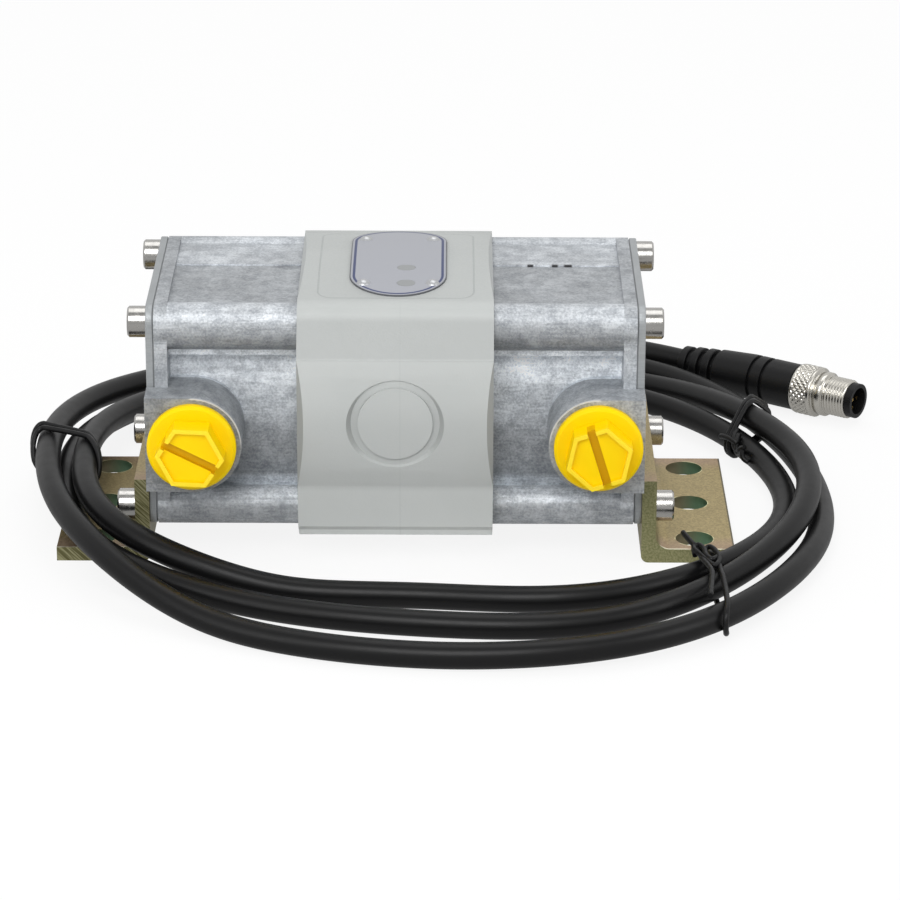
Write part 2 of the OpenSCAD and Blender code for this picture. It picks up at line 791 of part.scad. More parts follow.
// Cable gland in the rear cover: barrel, hexagon and a tapered boot that the cable leaves
boot_len = 14;
boot_end_d = 9;
gland_exit_y = gland_wall_y + gland_nut_t + boot_len;
module cable_gland() {
    color([0.13, 0.13, 0.14]) translate([0, gland_seat_y - cover_wall, gland_z]) rotate([-90, 0, 0])
        difference() {
            union() {
                cylinder(d = gland_d, h = gland_wall_y - gland_seat_y + 2 * cover_wall);
                translate([0, 0, gland_wall_y - gland_seat_y + cover_wall])
                    cylinder(d = gland_nut_af * 2 / sqrt(3), h = gland_nut_t, $fn = 6);
                translate([0, 0, gland_wall_y - gland_seat_y + cover_wall + gland_nut_t])
                    cylinder(d1 = gland_d, d2 = boot_end_d, h = boot_len);
            }
            translate([0, 0, -over]) cylinder(d = gland_bore_d, h = gland_bore_depth);
        }
}
gland_bore_d = 6;
gland_bore_depth = 8;

// Tube swept along points, its rings square to the run of the route
function unit(v) = v / norm(v);
function run_at(p, i) = unit(p[min(i + 1, len(p) - 1)] - p[max(i - 1, 0)]);
function ring_at(p, i, r, sides, runs) = let (
        t = runs[i],
        s = unit(cross(t, [0, 0, 1])),
        u = cross(s, t))
    [for (k = [0:sides - 1]) p[i] + r * (cos(k * 360 / sides + 180 / sides) * s
        + sin(k * 360 / sides + 180 / sides) * u)];
module tube(points, runs, r, sides) {
    n = len(points);
    rings = [for (i = [0:n - 1]) each ring_at(points, i, r, sides, runs)];
    skin = [for (i = [0:n - 2], k = [0:sides - 1]) let (
            a = i * sides + k, b = i * sides + (k + 1) % sides)
        each [[a, b, b + sides], [a, b + sides, a + sides]]];
    near = [for (k = [1:sides - 2]) [0, k + 1, k]];
    far = [for (k = [1:sides - 2]) let (a = (n - 1) * sides) [a, a + k, a + k + 1]];
    polyhedron(rings, [for (f = concat(skin, near, far)) [f[2], f[1], f[0]]]);
}

// Coil: radius and height of the cable's centre every 30 degrees, clockwise from coil_start
coil_mid = [10, 5];
coil_start = 60;
coil_step = 30;
rings_per_step = 2;
coil_radii = [
    99.9, 98.7, 101.7, 98.2, 89, 72.5, 80, 99.3, 99.3, 103, 105, 109,
    113.5, 105.2, 107.9, 106.1, 103.1, 91.3, 92.5, 104.6, 104.7, 110, 113.5, 118,
    122.8, 112.8, 111, 115.2, 120.3, 112, 109.5, 109.9, 110.1, 118, 122];
coil_heights = [
    4.8, 5.8, 3.6, 5.6, 5.6, 3.6, 3.6, 13.9, 16.4, 11.8, 5.5, 3.6,
    3.6, 10.8, 11.8, 8.4, 4.6, 3.6, 3.6, 7.8, 10.6, 7.2, 3.6, 3.6,
    5.5, 5.7, 3.6, 5.6, 5.6, 3.6, 3.6, 14.1, 16.4, 11.8, 5.5];
coil_last = len(coil_radii) - 1;
function pick(list, i) = list[min(max(i, 0), len(list) - 1)];
// Smooth value between the listed ones, at u steps from the start
function between(list, u) = let (
        i = min(floor(u), len(list) - 2), f = u - i,
        a = pick(list, i - 1), b = pick(list, i), c = pick(list, i + 1), d = pick(list, i + 2))
    b + f * (c - a) / 2 + f * f * (2 * a - 5 * b + 4 * c - d) / 2 + f * f * f * (3 * (b - c) + d - a) / 2;
function coil_angle(u) = coil_start - coil_step * u;
function coil_height(u) = max(between(coil_heights, u), cable_d / 2);
function coil_place(u) = let (r = between(coil_radii, u), a = coil_angle(u))
    [coil_mid[0] + r * cos(a), coil_mid[1] + r * sin(a), coil_height(u)];
function coil_run(u) = [sin(coil_angle(u)), -cos(coil_angle(u)), 0];
coil_count = coil_last * rings_per_step;
coil_points = concat(
    [coil_place(0) - cable_d * coil_run(0)],
    [for (i = [0:coil_count]) coil_place(i / rings_per_step)],
    [coil_place(coil_last) + cable_d * coil_run(coil_last)]);
coil_sides = 6;
free_sides = 10;

// Least gap between turns, measured on the ring centres of turns that lie side by side
lap = 360 / coil_step * rings_per_step;
coil_gap = min([for (i = [1:len(coil_points) - 1 - lap / 2], j = [i + lap / 2:len(coil_points) - 1])
    norm(coil_points[i] - coil_points[j])]) - cable_d;
echo(least_gap_between_turns = coil_gap);

// Routes of the free stretches, from the gland to the coil and from the coil to the connector
lead_route = [[0, gland_exit_y, gland_z], [0, 72, 26.5], [2.5, 81, 23], [8, 89, 16.5],
    [17, 94.5, 9.5], [28, 97.5, 5], [40, 98.5, 3.6], [48.5, 97.5, 3.6]];
tail_route = [[-34, 122, 4.4], [-22, 128, 3.6], [-8, 132, 3.6], [8, 134, 3.6], [24, 134.5, 3.6],
    [40, 133, 4.2], [55, 129, 6], [69, 122.4, 7.4]];

connector_at = [88, 109.5, 7.75];
connector_turn = -35;
connector_run = [cos(connector_turn), sin(connector_turn), 0];
lead_end = coil_points[0];
tail_start = coil_points[len(coil_points) - 1];
lead_points = concat(lead_route, [lead_end - cable_d * coil_run(0)], [lead_end]);
tail_points = concat([tail_start], [tail_start + cable_d * coil_run(coil_last)], tail_route,
    [connector_at - cable_d * connector_run, connector_at]);

function runs_of(p, first, last) = [for (i = [0:len(p) - 1]) i == 0 ? first : i == len(p) - 1 ? last
    : run_at(p, i)];

module cable_lead() {
    color([0.10, 0.10, 0.11])
        tube(lead_points, runs_of(lead_points, [0, 1, 0], coil_run(0)), cable_d / 2, free_sides);
}
module cable_coil() {
    color([0.10, 0.10, 0.11])
        tube(coil_points, runs_of(coil_points, coil_run(0), coil_run(coil_last)), cable_d / 2, coil_sides);
}
module cable_tail() {
    runs = runs_of(tail_points, coil_run(coil_last), connector_run);
    color([0.10, 0.10, 0.11]) tube(tail_points, runs, cable_d / 2, free_sides);
}

// Connector, drawn along +Z and laid along its own axis
module on_connector() {
    translate(connector_at) rotate([0, 0, connector_turn]) rotate([0, 90, 0]) children();
}

boot_d = 8.8;
rib_d = 11.6;
grip_neck_d = 12.4;
rib_len = 2.6;
groove_len = 1.8;
groove_depth = 1;
ribs = 3;
rib_zone = 13;
shoulder_z = 24;
module connector_grip() {
    color([0.12, 0.12, 0.13]) on_connector() difference() {
        rotate_extrude() {
            polygon([[0, 0], [boot_d / 2, 0], [grip_neck_d / 2 - groove_depth, rib_zone],
                [grip_neck_d / 2, rib_zone], [grip_d / 2, shoulder_z],
                [grip_d / 2, grip_len], [0, grip_len]]);
            for (i = [0:ribs - 1]) translate([0, i * (rib_len + groove_len)])
                square([boot_d / 2 + (rib_d - boot_d) / 2 * (i + 1) / ribs, rib_len]);
        }
        for (z = [shoulder_z, shoulder_z + rib_len + groove_len]) translate([0, 0, z]) rotate_extrude()
            translate([grip_d / 2 - groove_depth / 2, 0]) square([groove_depth, groove_len / 2]);
        translate([0, 0, grip_len - neck_seat]) cylinder(d = neck_d + 2 * fit_gap, h = neck_seat + over);
    }
}
neck_seat = 6;
neck_d = 10;
insert_d = 9.6;
ring_clear = 0.1;

module coupling_screw() {
    color([0.75, 0.74, 0.70]) on_connector() translate([0, 0, grip_len + ring_clear]) difference() {
        union() {
            cylinder(d = knurl_d, h = knurl_len);
            translate([0, 0, knurl_len]) cylinder(d = collar_d, h = collar_len);
            translate([0, 0, knurl_len + collar_len]) cylinder(d = thread_d, h = thread_len);
        }
        translate([0, 0, -over])
            cylinder(d = neck_d + 2 * fit_gap, h = knurl_len + collar_len + thread_len + 2 * over);
    }
}

insert_lip_d = 10.6;
insert_lip_t = 2.2;
insert_socket_d = 8.2;
insert_socket_depth = 7;
sleeve_end = grip_len + ring_clear + knurl_len + collar_len + thread_len;
module connector_insert() {
    color([0.09, 0.09, 0.10]) on_connector() difference() {
        union() {
            translate([0, 0, grip_len - neck_seat])
                cylinder(d = neck_d, h = sleeve_end + ring_clear - grip_len + neck_seat);
            translate([0, 0, sleeve_end + ring_clear]) cylinder(d = insert_lip_d, h = insert_lip_t);
        }
        translate([0, 0, sleeve_end + ring_clear + insert_lip_t - insert_socket_depth])
            cylinder(d = insert_socket_d, h = insert_socket_depth + over);
        pin_places() translate([0, 0, -pin_root])
            cylinder(d = contact_d + 2 * fit_gap, h = pin_root + over);
    }
}

contact_d = 1;
contact_ring_d = 4.9;
contact_len = 5;
pin_root = 3;
contacts = 4;
module pin_places() {
    translate([0, 0, sleeve_end + ring_clear + insert_lip_t - insert_socket_depth])
        for (i = [0:contacts]) rotate(i * 360 / contacts)
            translate([i < contacts ? contact_ring_d / 2 : 0, 0, 0]) children();
}
module connector_pins() {
    color([0.83, 0.69, 0.35]) on_connector() pin_places()
        translate([0, 0, -pin_root]) cylinder(d = contact_d, h = pin_root + contact_len);
}

// Wire tie: a closed loop pulled round the three turns at one angle of the coil
tie_rings = 28;
tie_sides = 6;
tie_gap = 0.25;
turn_steps = 360 / coil_step;
// Place on the straight run between two rings of the coil
function chord_place(u) = let (i = floor(u * rings_per_step), f = u * rings_per_step - i)
    (1 - f) * coil_place(i / rings_per_step) + f * coil_place(min(i + 1, coil_count) / rings_per_step);
function tie_strands(u) = [for (k = [0:2]) if (u + k * turn_steps <= coil_last)
    let (p = chord_place(u + k * turn_steps))
    [norm([p[0] - coil_mid[0], p[1] - coil_mid[1]]), p[2]]];
function farthest(list, n) = let (d = [for (p = list) p * n], m = max(d))
    [for (i = [0:len(list) - 1]) if (d[i] == m) list[i]][0];
function tie_loop(u) = let (s = tie_strands(u), w = (cable_d + tie_d) / 2 + tie_gap)
    [for (i = [0:tie_rings - 1]) let (n = [cos(i * 360 / tie_rings), sin(i * 360 / tie_rings)],
        p = farthest(s, n) + w * n) [p[0], max(p[1], tie_d / 2)]];
function loop_place(q, u) = [coil_mid[0] + q[0] * cos(coil_angle(u)),
    coil_mid[1] + q[0] * sin(coil_angle(u)), q[1]];

module closed_tube(points, across, r, sides) {
    n = len(points);
    rings = [for (i = [0:n - 1]) let (
            t = unit(points[(i + 1) % n] - points[(i + n - 1) % n]), s = cross(t, across))
        each [for (k = [0:sides - 1]) let (a = k * 360 / sides)
            points[i] + r * (cos(a) * s + sin(a) * across)]];
    polyhedron(rings, [for (i = [0:n - 1], k = [0:sides - 1]) let (
            a = i * sides + k, b = i * sides + (k + 1) % sides,
            c = (i + 1) % n * sides + (k + 1) % sides, d = (i + 1) % n * sides + k)
        each [[a, b, c], [a, c, d]]]);
}

module tie(u) {
    color([0.08, 0.08, 0.09])
        closed_tube([for (q = tie_loop(u)) loop_place(q, u)], coil_run(u), tie_d / 2, tie_sides);
}

left_tie_u = 8.28;
rear_tie_u = 1.08;
front_tie_u = 3.4;
module left_tie() { tie(left_tie_u); }
module rear_tie() { tie(rear_tie_u); }
module front_tie() { tie(front_tie_u); }

left_casting();
right_casting();
left_end_plate();
right_end_plate();
left_end_seal();
right_end_seal();
left_bracket();
right_bracket();
left_end_screws();
right_end_screws();
left_driver_gear();
left_idler_gear();
right_driver_gear();
right_idler_gear();
left_gear_pins();
right_gear_pins();
left_gear_magnets();
right_gear_magnets();
front_cover();
rear_cover();
cover_screws();
nameplate();
nameplate_rivets();
indicator_lenses();
circuit_board();
pickup_sensors();
centre_gasket();
left_front_plug();
right_front_plug();
left_rear_plug();
right_rear_plug();
cable_gland();
cable_lead();
cable_coil();
cable_tail();
connector_grip();
coupling_screw();
connector_insert();
connector_pins();
left_tie();
rear_tie();
front_tie();
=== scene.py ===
"""Looks of the flow meter.

Materials on the CAD solids, and finer forms of the cable, its ties and its connector.
"""
import bpy
import math
from mathutils import Matrix, Vector


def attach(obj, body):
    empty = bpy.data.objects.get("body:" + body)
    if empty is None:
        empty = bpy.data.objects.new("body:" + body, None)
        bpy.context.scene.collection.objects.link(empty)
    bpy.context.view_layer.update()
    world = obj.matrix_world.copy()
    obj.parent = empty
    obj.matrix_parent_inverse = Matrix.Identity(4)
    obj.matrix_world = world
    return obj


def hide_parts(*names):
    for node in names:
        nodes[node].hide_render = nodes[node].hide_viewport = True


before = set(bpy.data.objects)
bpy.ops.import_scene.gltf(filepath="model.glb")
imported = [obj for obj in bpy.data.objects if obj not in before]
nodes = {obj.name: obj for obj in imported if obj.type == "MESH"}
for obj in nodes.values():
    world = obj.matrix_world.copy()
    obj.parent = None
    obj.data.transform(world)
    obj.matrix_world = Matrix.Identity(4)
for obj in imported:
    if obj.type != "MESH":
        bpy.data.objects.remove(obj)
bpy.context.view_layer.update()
MM = 0.001

# Camera, fitted to the photograph
PHOTO_PX = 900
FOCAL_PX = 3835.9
SENSOR_MM = 36
FARTHEST_M = 20
LOOK_DOWN, ROLL = 21.01, 0.21
CAMERA_PLACE = (0.01493, -1.0175, 0.4106)
cam = bpy.data.cameras.new("camera")
cam.sensor_width = SENSOR_MM
cam.lens = FOCAL_PX / PHOTO_PX * SENSOR_MM
cam.clip_end = FARTHEST_M
camera = bpy.data.objects.new("camera", cam)
bpy.context.scene.collection.objects.link(camera)
tilt = math.radians(90 - LOOK_DOWN)
camera.matrix_world = (Matrix.Translation(CAMERA_PLACE) @ Matrix.Rotation(tilt, 4, "X")
                       @ Matrix.Rotation(math.radians(ROLL), 4, "Z"))
bpy.context.scene.camera = camera

# Cable, the same route in mm as the solids, on one smooth line
# RADII and HEIGHTS hold the coil's places, with STEPS_A_TURN of them to each turn round COIL_MID.
# LEAD runs from the gland to the coil, and TAIL from the coil to the connector.
CABLE_D = 7.2
STEPS_A_TURN, START_ANGLE = 12, 60
COIL_MID = (10, 5)
RADII = [99.9, 98.7, 101.7, 98.2, 89, 72.5, 80, 99.3, 99.3, 103, 105, 109,
         113.5, 105.2, 107.9, 106.1, 103.1, 91.3, 92.5, 104.6, 104.7, 110, 113.5, 118,
         122.8, 112.8, 111, 115.2, 120.3, 112, 109.5, 109.9, 110.1, 118, 122]
HEIGHTS = [4.8, 5.8, 3.6, 5.6, 5.6, 3.6, 3.6, 13.9, 16.4, 11.8, 5.5, 3.6,
           3.6, 10.8, 11.8, 8.4, 4.6, 3.6, 3.6, 7.8, 10.6, 7.2, 3.6, 3.6,
           5.5, 5.7, 3.6, 5.6, 5.6, 3.6, 3.6, 14.1, 16.4, 11.8, 5.5]
LEAD = [(0, 63.9, 27), (0, 72, 26.5), (2.5, 81, 23), (8, 89, 16.5), (17, 94.5, 9.5),
        (28, 97.5, 5), (40, 98.5, 3.6), (48.5, 97.5, 3.6)]
TAIL = [(-34, 122, 4.4), (-22, 128, 3.6), (-8, 132, 3.6), (8, 134, 3.6), (24, 134.5, 3.6),
        (40, 133, 4.2), (55, 129, 6), (69, 122.4, 7.4)]
CONNECTOR = Vector((88, 109.5, 7.75))
TURN = math.radians(-35)
LAST = len(RADII) - 1
PLACES_A_STEP, PIECES_A_STRETCH = 3, 8
CALM_PASSES = 40
CABLE_SIDES = 32
FIRST_UP = Vector((0.1, 0.2, 1))


def spline(a, b, c, d, f):
    """Catmull-Rom: the value at the share f of the way from b to c, for numbers or vectors."""
    return (b + (c - a) * f / 2 + (2 * a - 5 * b + 4 * c - d) * f * f / 2
            + (3 * (b - c) + d - a) * f ** 3 / 2)


def between(values, u):
    """The value at u on the smooth curve through the values."""
    i = min(math.floor(u), LAST - 1)
    around = (values[min(max(k, 0), LAST)] for k in (i - 1, i, i + 1, i + 2))
    return spline(*around, u - i)


def coil_angle(u):
    """The direction from the coil's middle at u, which counts the coil's places."""
    return math.radians(START_ANGLE - 360 / STEPS_A_TURN * u)


def coil_place(u):
    """The cable's centre at u, never lower than where it lies on the floor."""
    r, a = between(RADII, u), coil_angle(u)
    z = max(between(HEIGHTS, u), CABLE_D / 2)
    return Vector((COIL_MID[0] + r * math.cos(a), COIL_MID[1] + r * math.sin(a), z))


def smooth(points, steps):
    """A smooth line through the points, steps pieces to each stretch."""
    p = [Vector(q) for q in points]
    p = [2 * p[0] - p[1]] + p + [2 * p[-1] - p[-2]]
    out = []
    for i in range(len(p) - 3):
        out += [spline(*p[i:i + 4], k / steps) for k in range(steps)]
    return out + [p[-2]]


# Meshes made from rings
def skin(rings, closed=False):
    """Points and faces over rings of equal count; each ring is a list of points in mm."""
    n, rows = len(rings[0]), len(rings)
    verts = [Vector(p) * MM for ring in rings for p in ring]
    faces = []
    for i in range(rows if closed else rows - 1):
        for k in range(n):
            here, there = i * n, (i + 1) % rows * n
            after = (k + 1) % n
            faces.append((here + k, here + after, there + after, there + k))
    if not closed:
        faces.append(tuple(range(n - 1, -1, -1)))
        faces.append(tuple((rows - 1) * n + k for k in range(n)))
    return verts, faces


def make(name, skins, body):
    """One object from the skins, smooth but for its end caps, carried by the body."""
    verts, faces = [], []
    for v, f in skins:
        faces += [tuple(len(verts) + i for i in face) for face in f]
        verts += v
    mesh = bpy.data.meshes.new(name)
    mesh.from_pydata([tuple(v) for v in verts], [], faces)
    mesh.update()
    for face in mesh.polygons:
        face.use_smooth = len(face.vertices) == 4
    obj = bpy.data.objects.new(name, mesh)
    bpy.context.scene.collection.objects.link(obj)
    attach(obj, body)
    return obj


def tube(points, radius, sides, closed=False):
    """A round tube along the points, its rings carried along without a twist. None starts along FIRST_UP."""
    n = len(points)
    ways = []
    for i in range(n):
        a = points[i - 1] if i or closed else points[0]
        b = points[(i + 1) % n] if i < n - 1 or closed else points[-1]
        ways.append((b - a).normalized())
    side = ways[0].cross(FIRST_UP)
    rings = []
    for p, way in zip(points, ways):
        side = (side - side.dot(way) * way).normalized()
        up = way.cross(side)
        rings.append([p + radius * (math.cos(2 * math.pi * k / sides) * side
                                    + math.sin(2 * math.pi * k / sides) * up) for k in range(sides)])
    return skin(rings, closed=closed)


def calm(points, passes):
    """The same line with its small kinks evened out and its ends kept."""
    for _ in range(passes):
        inner = [(a + 2 * b + c) / 4 for a, b, c in zip(points, points[1:], points[2:])]
        points = points[:1] + inner + points[-1:]
    return points


run = Vector((math.cos(TURN), math.sin(TURN), 0))
coil = [coil_place(k / PLACES_A_STEP) for k in range(PLACES_A_STEP * LAST + 1)]
line_points = smooth(LEAD + coil + TAIL + [CONNECTOR - CABLE_D * run, CONNECTOR], PIECES_A_STRETCH)
for point in line_points:
    point.z = max(point.z, CABLE_D / 2)
line_points = calm(line_points, CALM_PASSES)
cable = make("cable", [tube(line_points, CABLE_D / 2, CABLE_SIDES)], "meter")
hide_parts("cable_lead", "cable_coil", "cable_tail")

# From places on the connector's own axis to the frame, in mm
on_connector = (Matrix.Translation(CONNECTOR) @ Matrix.Rotation(TURN, 4, "Z")
                @ Matrix.Rotation(math.radians(90), 4, "Y"))


def tri(x):
    """A wave of period one: nought at whole numbers and one halfway."""
    return 1 - abs(2 * (x - math.floor(x)) - 1)


def turned(name, body, profile, sides, radius):
    """A turned piece on the connector's axis.

    profile lists places along the axis with nominal radii, and radius gives the true one at each angle.
    """
    rings = []
    for z, r in profile:
        ring = []
        for k in range(sides):
            a = 2 * math.pi * k / sides
            q = radius(r, a, z)
            ring.append(on_connector @ Vector((q * math.cos(a), q * math.sin(a), z)))
        rings.append(ring)
    return make(name, [skin(rings, closed=True)], body)


# The ring that screws the connector on: a knurl, a collar and a thread, in a row along its axis
GRIP_END = 41.4
KNURL_END = GRIP_END + 7.2
COLLAR_END = KNURL_END + 3.4
THREAD_END = COLLAR_END + 7.6
RING_SIDES = 208
BORE_R = 5.2
KNURL_START, KNURL_STOP = GRIP_END + 0.9, KNURL_END - 1.2
KNURL_TEETH, KNURL_RISE = 26, 1.9
KNURL_R, KNURL_ROOT_R = 7.68, 7.0
KNURL_STEP, KNURL_PLACES = 0.17, 29
GROOVE_SHARE = 0.625
CUT_DEPTH = 0.42
THREAD_R, THREAD_INSET = 5.98, 0.3
THREAD_STEP, THREAD_PLACES = 0.125, 56


def ring_radius(r, a, z):
    """The bore stays plain, two sets of grooves cross on the knurl, and the thread's pitch is 1 mm."""
    if r < BORE_R:
        return r
    if KNURL_START < z < KNURL_STOP and r > KNURL_ROOT_R:
        u, w = KNURL_TEETH * a / (2 * math.pi), (z - GRIP_END) / KNURL_RISE
        wave = min(tri(u + w), tri(u - w))
        return r - CUT_DEPTH * max(0, 1 - wave / GROOVE_SHARE)
    if COLLAR_END + THREAD_INSET < z < THREAD_END - THREAD_INSET:
        return r - CUT_DEPTH * (1 - tri(z - a / (2 * math.pi)))
    return r


# The ring's outline from the grip outwards, with many places along its knurl and its thread
profile = [(GRIP_END, 5.05), (GRIP_END, 7.0), (GRIP_END + 0.35, 7.5), (GRIP_END + 0.85, 7.6)]
profile += [(KNURL_START + KNURL_STEP * k, KNURL_R) for k in range(1, KNURL_PLACES + 1)]
profile += [(KNURL_END - 1.15, 7.3), (KNURL_END - 1.0, 7.65), (KNURL_END - 0.25, 7.65),
            (KNURL_END, 7.4), (KNURL_END, 6.5), (KNURL_END + 0.3, 6.3), (KNURL_END + 0.9, 6.3),
            (KNURL_END + 1.1, 6.75), (COLLAR_END - 0.3, 6.75), (COLLAR_END, 6.45)]
profile += [(COLLAR_END, 5.6), (COLLAR_END + THREAD_INSET, 5.6)]
profile += [(COLLAR_END + THREAD_INSET + THREAD_STEP * k, THREAD_R) for k in range(1, THREAD_PLACES + 1)]
profile += [(THREAD_END - 0.2, 5.7), (THREAD_END, 5.5), (THREAD_END, 5.05)]
coupling = turned("coupling_ring", "coupling", profile, RING_SIDES, ring_radius)
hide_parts("coupling_screw")


# The connector's grip: three ribs with deep gaps on its boot, a taper, two grooves and the neck's seat
GRIP_SIDES, SHARP_ANGLE = 64, 30
BOOT = [(0, 0.4), (0, 4.4), (0.3, 4.9), (2.3, 5.0), (2.6, 4.8), (2.65, 3.95), (4.35, 3.95),
        (4.4, 5.1), (4.7, 5.4), (6.7, 5.5), (7.0, 5.3), (7.05, 4.15), (8.75, 4.15),
        (8.8, 5.6), (9.1, 5.85), (11.1, 5.9), (11.4, 5.7), (11.45, 4.5), (13.0, 4.5),
        (13.05, 6.0), (13.4, 6.3)]
GROOVES = [(24.4, 7.05), (26.1, 7.05), (26.2, 6.2), (27.3, 6.2), (27.4, 7.05),
           (30.5, 7.05), (30.6, 6.2), (31.7, 6.2), (31.8, 7.05), (40.9, 7.05)]
NECK_SEAT = [(41.3, 6.7), (41.3, 5.05), (35.3, 5.05), (35.3, 0.4)]
grip_body = turned("grip_body", "meter", BOOT + GROOVES + NECK_SEAT, GRIP_SIDES, lambda r, a, z: r)
grip_body.data.set_sharp_from_angle(angle=math.radians(SHARP_ANGLE))
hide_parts("connector_grip")


# Wire ties: loops round the strands, set a little askew, with twists and loose ends
TIE_R = 0.78
TIE_SIDES, LOOP_SIDES, LOOP_STEPS = 10, 12, 64
TIE_GAP = 0.1
ARCH_LEAN = 0.35
SLACK_LEAN = 0.3
SKEW_ROUNDS = 6
LOOP_CALM_PASSES = 2
WIRE_PIECES = 5


def tie_loop(u0, r0, skew, slack, shift=0.0, arch=0.0):
    """A loop round the strands at u0, slack on its outer upper side and moved along them by shift.

    skew moves it along with each mm outwards from r0, and arch bows its top along the strands.
    """
    loop = []
    for i in range(LOOP_STEPS):
        a = 2 * math.pi * i / LOOP_STEPS
        n = (math.cos(a), math.sin(a))
        at = u0 + shift + arch * math.sin(a + ARCH_LEAN)
        strands = []
        for lap in (0, STEPS_A_TURN, 2 * STEPS_A_TURN):
            r = r0
            for _ in range(SKEW_ROUNDS):
                r = between(RADII, min(at + skew * (r - r0) + lap, LAST))
            u = at + skew * (r - r0) + lap
            if u <= LAST:
                strands.append((r, max(between(HEIGHTS, u), CABLE_D / 2)))
        best = max(strands, key=lambda q: q[0] * n[0] + q[1] * n[1])
        grow = CABLE_D / 2 + TIE_R + TIE_GAP + slack * max(0, n[0]) * max(0, n[1] + SLACK_LEAN)
        r, z = best[0] + grow * n[0], max(best[1] + grow * n[1], TIE_R)
        turn = coil_angle(at + skew * (r - r0))
        loop.append(Vector((COIL_MID[0] + r * math.cos(turn), COIL_MID[1] + r * math.sin(turn), z)))
    return tube(calm(loop + loop[:1], LOOP_CALM_PASSES)[:-1], TIE_R, LOOP_SIDES, closed=True)


def strand_frame(u):
    """The strand's centre at u, the way out from the coil's middle, and the way along the strand."""
    p, a = coil_place(u), coil_angle(u)
    return p, Vector((math.cos(a), math.sin(a), 0)), Vector((math.sin(a), -math.cos(a), 0))


def wire(points):
    """A length of tie wire through the points."""
    return tube(smooth(points, WIRE_PIECES), TIE_R, TIE_SIDES)


def beside(u, offsets):
    """A loose wire near the strand at u: its points lie out, up and along from the strand's centre."""
    p, out, along = strand_frame(u)
    return wire([p + out * a + Vector((0, 0, b)) + along * c for a, b, c in offsets])


# The front tie's loose wires: its ends, up and down, and the knot's two bends
FRONT_UP = [(83.1, -51.9, 10.6), (82.1, -50.6, 11.2), (80.6, -48.2, 12.0), (78.9, -43.6, 12.6)]
FRONT_DOWN = [(82.8, -53.4, 10.6), (83.5, -59.5, 11.2), (84.5, -64.2, 11.6), (85.3, -69.7, 11.8),
              (84.7, -77.0, 11.6), (83.9, -84.7, 11.3)]
FRONT_KNOT = [(83.6, -53.6, 11.0), (85.6, -51.9, 11.8), (87.2, -55.5, 12.0), (87.9, -60.2, 11.6),
              (86.4, -64.1, 11.4), (84.7, -61.1, 11.4), (83.1, -56.9, 11.4), (81.7, -53.4, 11.4),
              (81.6, -50.3, 11.4), (82.9, -50.6, 11.8)]
FRONT_TWIST = [(81.6, -55.0, 10.6), (81.5, -51.5, 11.2), (82.9, -50.8, 11.8), (84.1, -54.1, 12.0),
               (84.4, -57.9, 11.8), (85.8, -60.7, 11.8), (87.7, -57.4, 11.4), (87.0, -54.0, 10.8)]
# The rear tie's, as places beside the strand
REAR_TWIST = [(-1.5, 4.6, -4), (-3.4, 3.6, -2), (-4.8, 1.8, 0.5), (-4.6, 0.4, 3),
              (-5.2, 1.8, 5), (-4.4, 3.4, 7)]
REAR_END = [(-2.5, 4.2, -1), (-4.2, 2.6, 1), (-5.2, 0.6, 3.5), (-4.6, 2.6, 5.5),
            (-5.4, 0.6, 8), (-4.2, -0.6, 9.5)]
REAR_STUB = [(-4.4, 2.4, 2), (-5.2, 3.0, -1), (-6.0, 3.0, -4), (-6.4, 2.6, -5.5)]
REAR_WIRES_AT = 1.3

# Where each tie goes round the coil: the step, and the radius at which its skew is nought
FRONT_TIE, LEFT_TIE, REAR_TIE = (3.19, 92.7), (7.93, 98), (1.25, 91.1)

front_parts = [tie_loop(*FRONT_TIE, skew=0.0165, slack=0.6)]
front_parts += [wire(points) for points in (FRONT_UP, FRONT_DOWN, FRONT_KNOT, FRONT_TWIST)]
left_parts = [tie_loop(*LEFT_TIE, skew=0.008, slack=0.9, arch=0.18),
              tie_loop(*LEFT_TIE, skew=0.008, slack=0.1, shift=-0.036, arch=0.17)]
rear_parts = [tie_loop(*REAR_TIE, skew=-0.0115, slack=1.6),
              tie_loop(*REAR_TIE, skew=-0.0115, slack=0.2, shift=0.034)]
rear_parts += [beside(REAR_WIRES_AT, offsets) for offsets in (REAR_TWIST, REAR_END, REAR_STUB)]
TIE_PIECES = []
for tie_name, parts in (("left_tie", left_parts), ("rear_tie", rear_parts), ("front_tie", front_parts)):
    piece = make("wire_" + tie_name, parts, "meter")
    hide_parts(tie_name)
    TIE_PIECES.append(piece)


# Materials
# Object space is the shared frame in metres, so a zone of a solid is told by its place there.
# The fades say how softly a mask ends: at the frame's middle and at a zone's edge in metres, and beside
# a line in half widths of that line.
PORT_X, PORT_Z = 0.0553, 0.0375
MIDDLE_FADE, ZONE_FADE, LINE_FADE = 0.001, 0.0003, 1.8


